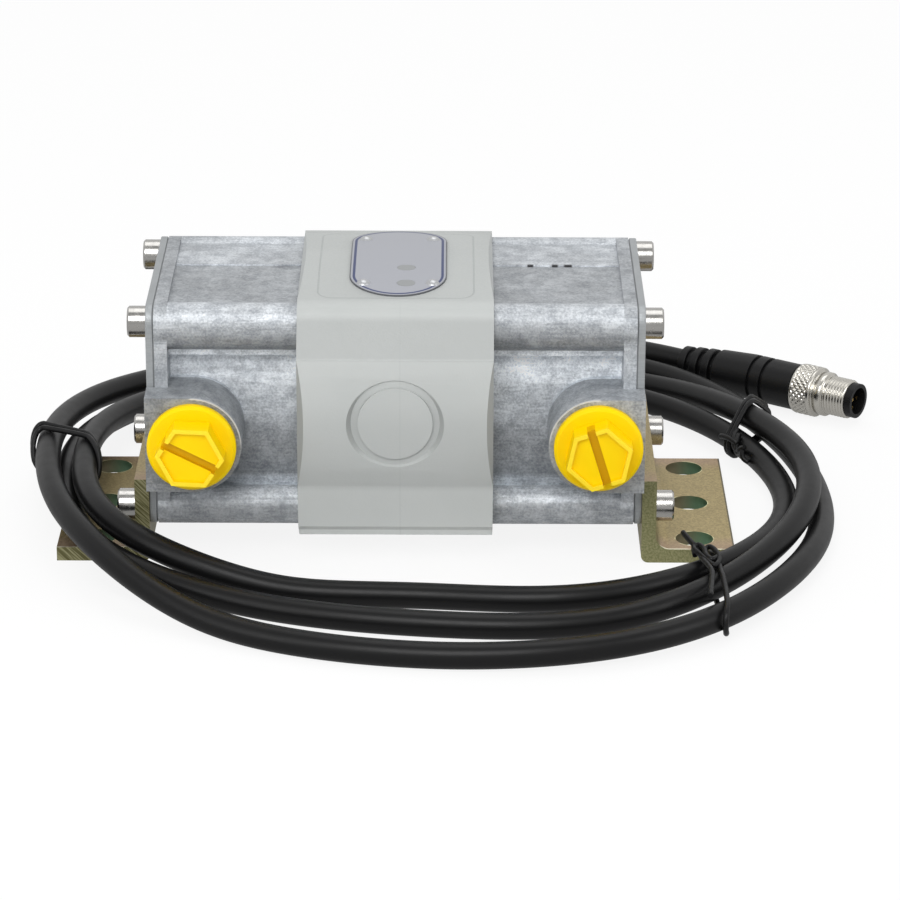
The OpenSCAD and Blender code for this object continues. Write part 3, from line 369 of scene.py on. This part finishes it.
class Paint:
    """A node material that is built a line at a time."""

    def __init__(self, name, colour, rough, metal=0.0, spec=0.5):
        self.material = bpy.data.materials.new(name)
        self.material.use_nodes = True
        self.tree = self.material.node_tree
        self.tree.nodes.clear()
        out = self.node("ShaderNodeOutputMaterial")
        self.surface = self.node("ShaderNodeBsdfPrincipled")
        self.tree.links.new(self.surface.outputs[0], out.inputs[0])
        self.surface.inputs["Base Color"].default_value = (*colour, 1)
        self.surface.inputs["Roughness"].default_value = rough
        self.surface.inputs["Metallic"].default_value = metal
        self.surface.inputs["Specular IOR Level"].default_value = spec
        self.pos = self.node("ShaderNodeTexCoord").outputs["Object"]
        self.material.diffuse_color = (*colour, 1)

    def node(self, kind, **props):
        node = self.tree.nodes.new(kind)
        for k, v in props.items():
            setattr(node, k, v)
        return node

    def put(self, socket, value):
        """Set a socket to a number or a colour, or link it to another socket."""
        if hasattr(value, "links"):
            self.tree.links.new(value, socket)
        elif isinstance(value, tuple) and len(value) == 3 and socket.type == "RGBA":
            socket.default_value = (*value, 1)
        else:
            socket.default_value = value

    def stretch(self, scale):
        """The place in the frame, scaled along each axis, for streaks."""
        node = self.node("ShaderNodeMapping")
        self.put(node.inputs["Vector"], self.pos)
        node.inputs["Scale"].default_value = scale
        return node.outputs[0]

    def noise(self, scale, detail, rough=0.5, vector=None):
        node = self.node("ShaderNodeTexNoise")
        self.put(node.inputs["Vector"], vector or self.pos)
        node.inputs["Scale"].default_value = scale
        node.inputs["Detail"].default_value = detail
        node.inputs["Roughness"].default_value = rough
        return node.outputs[0]

    def math(self, op, a, b=0.0):
        node = self.node("ShaderNodeMath", operation=op)
        for socket, value in zip(node.inputs, (a, b)):
            self.put(socket, value)
        return node.outputs[0]

    def minus(self, a, b):
        return self.math("SUBTRACT", a, b)

    def size(self, value):
        return self.math("ABSOLUTE", value)

    def both(self, a, b):
        """The product: two masks where both are one, or a value times a mask."""
        return self.math("MULTIPLY", a, b)

    def total(self, *parts):
        whole = parts[0]
        for part in parts[1:]:
            whole = self.math("ADD", whole, part)
        return whole

    def length(self, a, b):
        return self.math("SQRT", self.total(self.both(a, a), self.both(b, b)))

    def fit(self, value, lo, hi, to_lo=0.0, to_hi=1.0):
        """A smooth step from to_lo at lo to to_hi at hi."""
        node = self.node("ShaderNodeMapRange", interpolation_type="SMOOTHSTEP")
        self.put(node.inputs["Value"], value)
        for k, v in (("From Min", lo), ("From Max", hi), ("To Min", to_lo), ("To Max", to_hi)):
            node.inputs[k].default_value = v
        return node.outputs["Result"]

    def under(self, value, lo, hi):
        """One below lo, fading to zero at hi."""
        return self.fit(value, lo, hi, 1.0, 0.0)

    def halves(self, value, low=0.0, high=1.0):
        """low on the negative side of the frame's middle and high on the positive side."""
        return self.fit(value, -MIDDLE_FADE, MIDDLE_FADE, low, high)

    def within(self, value, lo, hi):
        """One between lo and hi, fading to zero outside them."""
        return self.both(self.fit(value, lo - ZONE_FADE, lo), self.under(value, hi, hi + ZONE_FADE))

    def line(self, distance, at, half):
        """One on a line of half width half where distance equals at, fading to zero."""
        return self.under(self.size(self.minus(distance, at)), half, half * LINE_FADE)

    def outline(self, x, y, cx, cy, half_x, half_y, r):
        """Distance from a rounded rectangle's edge, less than zero inside it."""
        far = []
        for value, c, half in ((x, cx, half_x), (y, cy, half_y)):
            off = self.size(self.minus(value, c))
            far.append(self.math("MAXIMUM", self.minus(off, half - r), 0.0))
        return self.minus(self.length(far[0], far[1]), r)

    def pick(self, mask, a, b):
        """a where the mask is zero, b where it is one."""
        return self.total(a, self.both(mask, self.minus(b, a)))

    def blend(self, fac, a, b):
        """The same for colours."""
        node = self.node("ShaderNodeMix", data_type="RGBA")
        self.put(node.inputs[0], fac)
        self.put(node.inputs[6], a)
        self.put(node.inputs[7], b)
        return node.outputs[2]

    def scale(self, colour, factor):
        node = self.node("ShaderNodeVectorMath", operation="SCALE")
        self.put(node.inputs[0], colour)
        self.put(node.inputs["Scale"], factor)
        return node.outputs[0]

    def xyz(self, vector=None):
        node = self.node("ShaderNodeSeparateXYZ")
        self.put(node.inputs[0], vector or self.pos)
        return node.outputs

    def join(self, x, y, z):
        node = self.node("ShaderNodeCombineXYZ")
        for socket, value in zip(node.inputs, (x, y, z)):
            self.put(socket, value)
        return node.outputs[0]

    def normal(self):
        return self.xyz(self.node("ShaderNodeNewGeometry").outputs["True Normal"])

    def bump(self, height, distance, strength):
        """Bumps of the height pattern, on top of those that the material has."""
        node = self.node("ShaderNodeBump")
        self.put(node.inputs["Height"], height)
        node.inputs["Distance"].default_value = distance
        node.inputs["Strength"].default_value = strength
        if self.surface.inputs["Normal"].is_linked:
            self.put(node.inputs["Normal"], self.surface.inputs["Normal"].links[0].from_socket)
        self.put(self.surface.inputs["Normal"], node.outputs[0])

    def colour(self, value):
        self.put(self.surface.inputs["Base Color"], value)

    def rough(self, pattern, least, most, lo=0.3, hi=0.7):
        """Roughness from least to most as the pattern goes from lo to hi."""
        self.put(self.surface.inputs["Roughness"], self.fit(pattern, lo, hi, least, most))


def give(paint, *names):
    """Put the material on every slot of the named solids or pieces."""
    for name in names:
        obj = nodes[name] if name in nodes else bpy.data.objects[name]
        slots = obj.data.materials
        if len(slots) == 0:
            slots.append(paint.material)
        for i in range(len(slots)):
            slots[i] = paint.material


def plain(name, colour, rough, names, grain=(900, 2), depth=0.00005, strength=0.5, **more):
    """One colour with a fine grain."""
    paint = Paint(name, colour, rough, **more)
    paint.bump(paint.noise(*grain), depth, strength)
    give(paint, *names)


def glossy(name, colour, rough, names, shine, grain=(900, 2), **more):
    """One colour whose roughness wanders between two values. Returns the material for more."""
    paint = Paint(name, colour, rough, **more)
    paint.rough(paint.noise(*grain), *shine)
    give(paint, *names)
    return paint


def paint_castings():
    """Rough alloy: mottled and streaked along x, with painted light and shade from zone to zone and a
    painted highlight on each boss's edge.
    """
    cast = Paint("cast_alloy", (0.42, 0.45, 0.47), 0.5, metal=0.4)
    x, y, z = cast.xyz()
    ax, ay, facing_y = cast.size(x), cast.size(y), cast.size(cast.normal()[1])
    grain = cast.noise(1500, 4, 0.7)
    streak = cast.noise(1.0, 3, 0.6, cast.stretch((160, 1500, 1500)))
    mottle = cast.noise(240, 3, 0.6)
    mixed = cast.total(cast.both(mottle, 0.35), cast.both(grain, 0.45), cast.both(streak, 0.2))
    alloy = cast.blend(cast.fit(mixed, 0.38, 0.62), (0.30, 0.32, 0.345), (0.58, 0.605, 0.63))

    # Zones, as masks
    outside = cast.fit(ay, 0.0260, 0.0264)
    top = cast.fit(z, 0.0710, 0.0713)
    upper_half = cast.fit(z, 0.0205, 0.0225)
    ridge = cast.both(outside, cast.fit(z, 0.0590, 0.0592))
    ledge_highlight = cast.both(cast.within(ay, 0.0270, 0.0299), cast.within(z, 0.0580, 0.0632))
    shaded_boss_side = cast.both(cast.both(outside, cast.within(z, 0.0222, 0.0560)), cast.under(facing_y, 0.4, 0.8))
    boss_face = cast.fit(ay, 0.0429, 0.0431)
    front_panel = cast.both(top, cast.within(y, -0.0260, 0.0070))
    rear_panel = cast.both(top, cast.within(y, 0.0074, 0.0260))
    flange = cast.both(cast.fit(ax, 0.0620, 0.0622), cast.under(ay, 0.0344, 0.0347))

    # Painted light and shade: how light each zone is painted, such as the lit tops and shaded undersides of
    # the ridges; a later one lies over an earlier one
    low = cast.total(0.88, cast.fit(z, 0.0165, 0.0192, 0.0, 0.60))
    high = cast.total(0.83, cast.fit(z, 0.030, 0.043, 0.0, 0.60), cast.fit(z, 0.044, 0.056, 0.0, 0.34))
    ridge_highlight_and_shade = cast.total(0.60, cast.fit(z, 0.0645, 0.0690, 0.0, 0.40),
                          cast.fit(z, 0.0695, 0.0715, 0.0, 0.12))
    tone = cast.pick(upper_half, low, high)
    painted_levels = ((ridge, ridge_highlight_and_shade), (ledge_highlight, 1.6), (shaded_boss_side, 0.84), (boss_face, cast.halves(x, 0.62, 0.80)),
              (front_panel, 0.80), (rear_panel, 1.12), (flange, cast.pick(top, 1.05, 0.84)))
    for zone, level in painted_levels:
        tone = cast.pick(zone, tone, level)
    patches = cast.fit(cast.noise(55, 4, 0.6), 0.34, 0.66, 0.88, 1.13)
    alloy = cast.scale(alloy, cast.both(tone, patches))

    # A painted highlight on the inner upper edge of each boss
    boss_rim_r = 0.01335
    port_x, port_z = cast.minus(ax, PORT_X), cast.minus(z, PORT_Z)
    rim_highlight = cast.line(cast.length(port_x, port_z), boss_rim_r, 0.00012)
    rim_highlight = cast.both(rim_highlight, cast.fit(ay, 0.0426, 0.0430))
    rim_highlight = cast.both(rim_highlight, cast.both(cast.under(port_x, 0.0, 0.001), cast.fit(port_z, -0.002, 0.004)))
    alloy = cast.blend(cast.both(rim_highlight, 0.7), alloy, (0.85, 0.85, 0.85))

    # Three dark nicks in the step of the right casting's panel
    nick_y = 0.0072
    nicks = 0.0
    for nick_x, half in ((0.0373, 0.0006), (0.0442, 0.0006), (0.0479, 0.0008)):
        nicks = cast.math("MAXIMUM", nicks, cast.line(x, nick_x, half))
    nicks = cast.both(cast.both(nicks, cast.line(y, nick_y, 0.0006)), cast.fit(z, 0.0715, 0.072))
    cast.colour(cast.blend(nicks, alloy, (0.06, 0.06, 0.065)))
    cast.rough(streak, 0.34, 0.55, 0.35, 0.65)
    cast.bump(grain, 0.00018, 0.8)
    cast.bump(cast.noise(420, 3, 0.5), 0.00025, 0.5)
    cast.bump(streak, 0.00012, 0.6)
    give(cast, "left_casting", "right_casting")


def paint_end_plates():
    """Alloy with level streaks."""
    plate = Paint("plate_alloy", (0.36, 0.375, 0.385), 0.45, metal=0.4)
    lines = plate.noise(1.0, 3, 0.6, plate.stretch((200, 60, 2600)))
    plate.colour(plate.blend(lines, (0.27, 0.285, 0.295), (0.44, 0.46, 0.47)))
    plate.bump(lines, 0.00012, 0.7)
    plate.bump(plate.noise(900, 3), 0.0001, 0.5)
    give(plate, "left_end_plate", "right_end_plate")


def paint_cover():
    """Smooth paint, with painted light and shade in steps of height and painted shade on the sides of the
    front.
    """
    cover = Paint("cover_paint", (0.55, 0.58, 0.565), 0.48)
    x, y, z = cover.xyz()
    facing_x = cover.size(cover.normal()[0])
    fine = cover.noise(1500, 2, 0.6)
    paint = cover.blend(cover.noise(60, 3), (0.53, 0.555, 0.545), (0.58, 0.60, 0.59))
    # Painted light and shade by height, as what each height adds to the tone: from, to, added below and
    # added above
    tone = 0.93
    steps = ((0.0106, 0.0114, 0.45, 0.0), (0.0235, 0.0262, 0.0, -0.15), (0.042, 0.052, 0.0, 0.06),
             (0.0612, 0.0626, 0.0, -0.19), (0.0705, 0.0728, 0.0, 0.15))
    for lo, hi, at_lo, at_hi in steps:
        tone = cover.total(tone, cover.fit(z, lo, hi, at_lo, at_hi))
    # Painted shade on the sides of the front
    shaded_front_side = cover.both(cover.fit(facing_x, 0.5, 0.8), cover.fit(y, -0.020, -0.030))
    paint = cover.scale(paint, cover.pick(shaded_front_side, tone, 0.60))

    # The crown's fine groove outline and the mould's parting line, each darkened along its length as painted
    # shade
    crown_edge = cover.outline(x, y, 0.0, -0.0016, 0.0213, 0.0278, 0.004)
    crown_line = cover.both(cover.line(crown_edge, 0.0, 0.00016), cover.fit(z, 0.070, 0.072))
    mould_line = cover.both(cover.line(x, 0.0013, 0.00014), cover.fit(y, -0.030, -0.034))
    paint = cover.blend(cover.both(crown_line, 0.35), paint, (0.25, 0.27, 0.27))
    cover.colour(cover.blend(cover.both(mould_line, 0.12), paint, (0.30, 0.32, 0.32)))
    cover.rough(fine, 0.42, 0.56)
    cover.bump(cover.both(crown_line, -1.0), 0.0001, 0.6)
    cover.bump(fine, 0.00006, 0.6)
    give(cover, "front_cover", "rear_cover")


def paint_brackets():
    """Passivated steel: gold, pink towards the ends and olive on the sides, with cut ends, painted shade in
    the foot holes and painted highlights on their rims and on the feet's front edges.
    """
    steel = Paint("passivated_steel", (0.40, 0.33, 0.17), 0.38, metal=0.55)
    x, y, z = steel.xyz()
    nx, ny, nz = steel.normal()
    ax, ay = steel.size(x), steel.size(y)
    speck = steel.noise(1600, 3, 0.7)
    coarse = steel.fit(speck, 0.35, 0.65)
    gold = steel.blend(coarse, (0.31, 0.24, 0.10), (0.50, 0.40, 0.20))
    pink = steel.blend(coarse, (0.36, 0.24, 0.165), (0.48, 0.345, 0.24))
    olive = steel.blend(steel.fit(speck, 0.4, 0.6), (0.18, 0.18, 0.08), (0.34, 0.33, 0.17))
    wander = steel.total(ay, steel.both(steel.noise(70, 3, 0.6), 0.012))
    tone = steel.blend(steel.both(steel.fit(wander, 0.030, 0.040), 0.75), gold, pink)

    # The cut ends: slanting saw marks on the left bracket, plain on the right one
    slant = steel.join(steel.both(steel.total(x, z), 1900.0), steel.both(steel.minus(x, z), 60.0), 0.0)
    scratch = steel.fit(steel.noise(1.0, 2, 0.6, slant), 0.42, 0.60)
    sawn = steel.blend(scratch, (0.15, 0.14, 0.055), (0.42, 0.40, 0.22))
    smooth_end = steel.blend(coarse, (0.20, 0.20, 0.09), (0.34, 0.33, 0.17))
    cut_end = steel.blend(steel.halves(x), sawn, smooth_end)
    tone = steel.blend(steel.fit(steel.size(ny), 0.6, 0.8), tone, cut_end)
    tone = steel.blend(steel.both(steel.fit(steel.size(nx), 0.6, 0.8), 0.6), tone, olive)

    # The foot holes: dark green and brown walls, their darkness a painted shade, and a painted highlight on
    # the rim, by the distance from the nearest hole's axis
    hole_x, hole_ys = 0.0832, (-0.027, 0.0, 0.027)
    near = 1.0
    for hole_y in hole_ys:
        near = steel.math("MINIMUM", near, steel.length(steel.minus(ax, hole_x), steel.minus(y, hole_y)))
    in_hole = steel.both(steel.under(near, 0.0056, 0.0060), steel.under(steel.size(nz), 0.5, 0.8))
    shaded_hole_wall = steel.blend(steel.fit(nx, -0.7, 0.7), (0.12, 0.22, 0.13), (0.20, 0.17, 0.10))
    tone = steel.blend(in_hole, tone, shaded_hole_wall)
    rim_highlight = steel.both(steel.line(near, 0.00535, 0.00012), steel.fit(nz, 0.5, 0.9))
    rim_highlight = steel.both(rim_highlight, steel.fit(steel.noise(300, 1), 0.45, 0.6))
    tone = steel.blend(rim_highlight, tone, (0.80, 0.78, 0.45))

    # The feet's edges: dark at the right end, and a painted highlight along the front
    upward = steel.fit(nz, 0.3, 0.6)
    right_edge = steel.both(steel.fit(x, 0.09345, 0.09365), upward)
    tone = steel.blend(steel.both(right_edge, 0.8), tone, (0.07, 0.07, 0.045))
    front_edge_highlight = steel.both(steel.both(steel.fit(y, -0.0341, -0.0346), steel.fit(z, 0.0085, 0.0075)), upward)
    front_edge_highlight = steel.both(front_edge_highlight, steel.fit(steel.noise(260, 2), 0.35, 0.55))
    tone = steel.blend(front_edge_highlight, tone, (0.90, 0.86, 0.66))
    steel.colour(steel.scale(tone, steel.halves(x, 0.86, 1.0)))
    steel.rough(speck, 0.32, 0.5)
    steel.bump(speck, 0.00005, 0.5)
    give(steel, "left_bracket", "right_bracket")


def paint_plugs():
    """Yellow plastic with painted shade in the slot and a painted highlight on the rim's top; the rear plugs
    are the front ones turned round.
    """
    yellow = (0.94, 0.64, 0.0)
    plug = Paint("plug_yellow", yellow, 0.42, spec=0.12)
    x, y, z = plug.xyz()
    ay, right = plug.size(y), plug.halves(x)
    plug_x = plug.minus(x, plug.fit(right, 0.0, 1.0, -PORT_X, PORT_X))
    plug_x = plug.both(plug_x, plug.halves(y, 1.0, -1.0))
    plug_z = plug.minus(z, PORT_Z)
    # Distance from the slot's middle, which stands at another angle on the left and on the right
    gaps = []
    for turn in (math.radians(-27), math.radians(-73)):
        rise = plug.minus(plug.both(plug_z, math.cos(turn)), plug.both(plug_x, math.sin(turn)))
        gaps.append(plug.size(rise))
    slot_shade = plug.under(plug.pick(right, gaps[0], gaps[1]), 0.00112, 0.00122)
    slot_shade = plug.both(slot_shade, plug.under(plug.length(plug_x, plug_z), 0.0080, 0.0085))
    slot_shade = plug.both(slot_shade, plug.both(plug.fit(ay, 0.0470, 0.0480), plug.under(ay, 0.0532, 0.0536)))
    # A painted highlight on the top of the rim
    tone = plug.blend(plug.fit(ay, 0.0530, 0.0533), yellow, (0.97, 0.71, 0.03))
    # Painted shade in the slot
    plug.colour(plug.blend(slot_shade, tone, (0.66, 0.36, 0.0)))
    plug.rough(plug.noise(500, 2), 0.34, 0.48)
    plug.bump(plug.noise(420, 2), 0.00006, 0.5)
    plug.surface.inputs["Subsurface Weight"].default_value = 0.15
    plug.surface.inputs["Subsurface Radius"].default_value = (0.002, 0.0012, 0.0004)
    plug.surface.inputs["Subsurface Scale"].default_value = 1.0
    give(plug, "left_front_plug", "right_front_plug", "left_rear_plug", "right_rear_plug")


def paint_label():
    """Bare metal with a printed dark line inside its edge and painted shade along the edge itself."""
    metal = (0.35, 0.36, 0.395)
    label = Paint("label_metal", metal, 0.4)
    x, y, _ = label.xyz()
    edge = label.outline(x, y, 0.0005, 0.0, 0.0133, 0.0285, 0.0133)
    tone = label.blend(label.line(edge, -0.0011, 0.00026), metal, (0.03, 0.045, 0.13))
    # Painted shade along the plate's edge
    label.colour(label.blend(label.fit(edge, -0.00035, -0.0001), tone, (0.10, 0.105, 0.115)))
    label.bump(label.noise(1200, 2), 0.00003, 0.4)
    give(label, "nameplate")


def paint_steel():
    """Bright steel with fine turning marks across x, for the screws, the pins and the magnets."""
    names = ("left_end_screws", "right_end_screws", "cover_screws",
             "left_gear_pins", "right_gear_pins", "left_gear_magnets", "right_gear_magnets")
    steel = glossy("stainless", (0.50, 0.49, 0.47), 0.22, names, (0.16, 0.28), (600, 2), metal=1.0)
    steel.bump(steel.noise(1.0, 2, 0.5, steel.stretch((3000, 500, 500))), 0.00003, 0.5)


def paint_cable():
    """Black jacket with a soft shine and a very fine grain."""
    jacket = glossy("cable_jacket", (0.0055, 0.0055, 0.0058), 0.36, ("cable",),
                    (0.34, 0.38), (300, 2), spec=0.24)
    jacket.bump(jacket.noise(2400, 2), 0.00002, 0.5)


paint_castings()
paint_end_plates()
paint_cover()
paint_brackets()
paint_plugs()
paint_label()
paint_steel()
paint_cable()
plain("seal_rubber", (0.24, 0.25, 0.255), 0.6, ("left_end_seal", "right_end_seal", "centre_gasket"))
plain("rivet_alloy", (0.52, 0.53, 0.54), 0.34, ("nameplate_rivets",), (1500, 2), 0.00003, metal=0.8)
plain("driver_polymer", (0.60, 0.52, 0.30), 0.45, ("left_driver_gear", "right_driver_gear"))
plain("idler_polymer", (0.05, 0.052, 0.056), 0.4, ("left_idler_gear", "right_idler_gear"))
plain("lens_smoke", (0.27, 0.28, 0.285), 0.3, ("indicator_lenses",), (800, 1), 0.00002, 0.4)
plain("board_green", (0.02, 0.11, 0.05), 0.35, ("circuit_board",), (700, 2), 0.00004)
plain("sensor_black", (0.012, 0.012, 0.013), 0.45, ("pickup_sensors",), (700, 2))
plain("connector_black", (0.0055, 0.0055, 0.006), 0.42, ("grip_body", "connector_insert", "cable_gland"),
      (1300, 2), spec=0.26)
glossy("nickel", (0.62, 0.60, 0.55), 0.22, ("coupling_ring",), (0.16, 0.32), metal=1.0)
glossy("contact_gold", (0.75, 0.52, 0.18), 0.25, ("connector_pins",), (0.2, 0.3), metal=1.0)
glossy("tie_wire", (0.006, 0.006, 0.0065), 0.38, [tie.name for tie in TIE_PIECES], (0.3, 0.45), spec=0.26)

# Soft edges on the rigid solids, in mm
SOFT_EDGES = {
    0.8: ("front_cover",),
    0.7: ("left_casting", "right_casting"),
    0.35: ("left_bracket", "right_bracket"),
    0.3: ("left_end_plate", "right_end_plate",
          "left_front_plug", "right_front_plug", "left_rear_plug", "right_rear_plug"),
}
WELD_WITHIN = 0.000002
BEVEL_STEPS, BEVEL_FROM = 3, 28


def soften(obj, width):
    """Round the solid's edges in the render by the width; its own mesh stays."""
    weld = obj.modifiers.new("weld", "WELD")
    weld.merge_threshold = WELD_WITHIN
    bevel = obj.modifiers.new("bevel", "BEVEL")
    bevel.width = width * MM
    bevel.segments = BEVEL_STEPS
    bevel.limit_method = "ANGLE"
    bevel.angle_limit = math.radians(BEVEL_FROM)
    bevel.harden_normals = True


for width, names in SOFT_EDGES.items():
    for name in names:
        soften(nodes[name], width)

# Floor, backdrop and light
# FLOOR_WHITE is the share of plain white that the camera sees; the rest of the floor takes the shadow.
# FLOOR_GLOSS is the share of GLOSS_LIGHT that metal reflects of the floor.
FLOOR_HALF = 6
FLOOR_COLOUR = 0.9
FLOOR_WHITE, FLOOR_GLOSS = 0.87, 0.8
GLOSS_LIGHT = 0.45
ROOM, STUDIO, SKY = 0.65, 1.0, 1.0
BACK_WALL = 0.75
SEEN = ["Is Camera Ray", "Is Transmission Ray"]
MIRRORED = ["Is Glossy Ray"]
LIT_PLACE = Vector((0, 0, 0.03))


def shader(tree, kind, level, strength=None):
    """A shader of a grey level, and of a strength where it gives light."""
    node = tree.nodes.new(kind)
    node.inputs["Color"].default_value = (level, level, level, 1)
    if strength is not None:
        node.inputs["Strength"].default_value = strength
    return node.outputs[0]


def mixed_for(tree, usual, special, rays, share):
    """The special shader for a share of the given kinds of rays, and the usual one for the rest."""
    path = tree.nodes.new("ShaderNodeLightPath")
    chosen = path.outputs[rays[0]]
    for name in rays[1:]:
        more = tree.nodes.new("ShaderNodeMath")
        more.operation = "MAXIMUM"
        tree.links.new(chosen, more.inputs[0])
        tree.links.new(path.outputs[name], more.inputs[1])
        chosen = more.outputs[0]
    part = tree.nodes.new("ShaderNodeMath")
    part.operation = "MULTIPLY"
    tree.links.new(chosen, part.inputs[0])
    part.inputs[1].default_value = share
    mix = tree.nodes.new("ShaderNodeMixShader")
    tree.links.new(part.outputs[0], mix.inputs[0])
    tree.links.new(usual, mix.inputs[1])
    tree.links.new(special, mix.inputs[2])
    return mix.outputs[0]


def lay_floor():
    """A white floor that takes the object's shadow."""
    mesh = bpy.data.meshes.new("floor")
    corners = [(-FLOOR_HALF, -FLOOR_HALF, 0), (FLOOR_HALF, -FLOOR_HALF, 0),
               (FLOOR_HALF, FLOOR_HALF, 0), (-FLOOR_HALF, FLOOR_HALF, 0)]
    mesh.from_pydata(corners, [], [(0, 1, 2, 3)])
    floor = bpy.data.objects.new("floor", mesh)
    bpy.context.scene.collection.objects.link(floor)
    material = bpy.data.materials.new("floor_white")
    material.use_nodes = True
    tree = material.node_tree
    tree.nodes.clear()
    out = tree.nodes.new("ShaderNodeOutputMaterial")
    dull = shader(tree, "ShaderNodeBsdfDiffuse", FLOOR_COLOUR)
    grey = shader(tree, "ShaderNodeEmission", 1, GLOSS_LIGHT)
    white = shader(tree, "ShaderNodeEmission", 1, 1.0)
    dull = mixed_for(tree, dull, grey, MIRRORED, FLOOR_GLOSS)
    tree.links.new(mixed_for(tree, dull, white, SEEN, FLOOR_WHITE), out.inputs[0])
    mesh.materials.append(material)


def grey_by_height(tree, height):
    """What metal reflects in front: grey at the top, a bright band under it and a mid grey below."""
    ramp = tree.nodes.new("ShaderNodeValToRGB")
    first, last = ramp.color_ramp.elements
    first.position, first.color = 0.0, (0.55, 0.55, 0.55, 1)
    last.position, last.color = 1.0, (0.42, 0.42, 0.42, 1)
    for at, level in ((0.35, 0.5), (0.52, 0.55), (0.60, 1.0), (0.74, 1.0), (0.82, 0.5)):
        ramp.color_ramp.elements.new(at).color = (level, level, level, 1)
    tree.links.new(height, ramp.inputs[0])
    return ramp.outputs[0]


def light_world():
    """White to the camera, a studio of greys to whatever mirrors it, and even light to the rest."""
    world = bpy.data.worlds.new("world")
    bpy.context.scene.world = world
    world.use_nodes = True
    tree = world.node_tree
    tree.nodes.clear()
    out = tree.nodes.new("ShaderNodeOutputWorld")
    room, studio, sky = (shader(tree, "ShaderNodeBackground", 1, power) for power in (ROOM, STUDIO, SKY))
    place = tree.nodes.new("ShaderNodeTexCoord")
    split = tree.nodes.new("ShaderNodeSeparateXYZ")
    tree.links.new(place.outputs["Generated"], split.inputs[0])
    # The studio is one light grey behind the meter
    back = tree.nodes.new("ShaderNodeMapRange")
    tree.links.new(split.outputs["Y"], back.inputs["Value"])
    for key, value in (("From Min", -0.1), ("From Max", 0.4), ("To Min", 0.0), ("To Max", 1.0)):
        back.inputs[key].default_value = value
    wall = tree.nodes.new("ShaderNodeMix")
    wall.data_type = "RGBA"
    tree.links.new(back.outputs[0], wall.inputs[0])
    tree.links.new(grey_by_height(tree, split.outputs["Z"]), wall.inputs[6])
    wall.inputs[7].default_value = (BACK_WALL, BACK_WALL, BACK_WALL, 1)
    tree.links.new(wall.outputs[2], studio.node.inputs["Color"])
    room = mixed_for(tree, room, studio, MIRRORED, 1.0)
    tree.links.new(mixed_for(tree, room, sky, SEEN, 1.0), out.inputs[0])


def lamp(name, place, size, power):
    """A square lamp that looks at the meter."""
    light = bpy.data.lights.new(name, "AREA")
    light.shape = "SQUARE"
    light.size = size
    light.energy = power
    obj = bpy.data.objects.new(name, light)
    obj.location = place
    obj.rotation_euler = (LIT_PLACE - Vector(place)).to_track_quat("-Z", "Y").to_euler()
    bpy.context.scene.collection.objects.link(obj)


lay_floor()
light_world()
lamp("top_light", (0.1, 0.35, 1.3), size=0.9, power=3.5)
lamp("front_light", (-0.2, -1.1, 1.0), size=0.7, power=8)
lamp("left_light", (-1.0, -0.9, 0.6), size=0.7, power=3)
lamp("right_light", (1.1, -0.5, 0.6), size=0.6, power=2.5)

bpy.context.scene.view_settings.view_transform = "Standard"
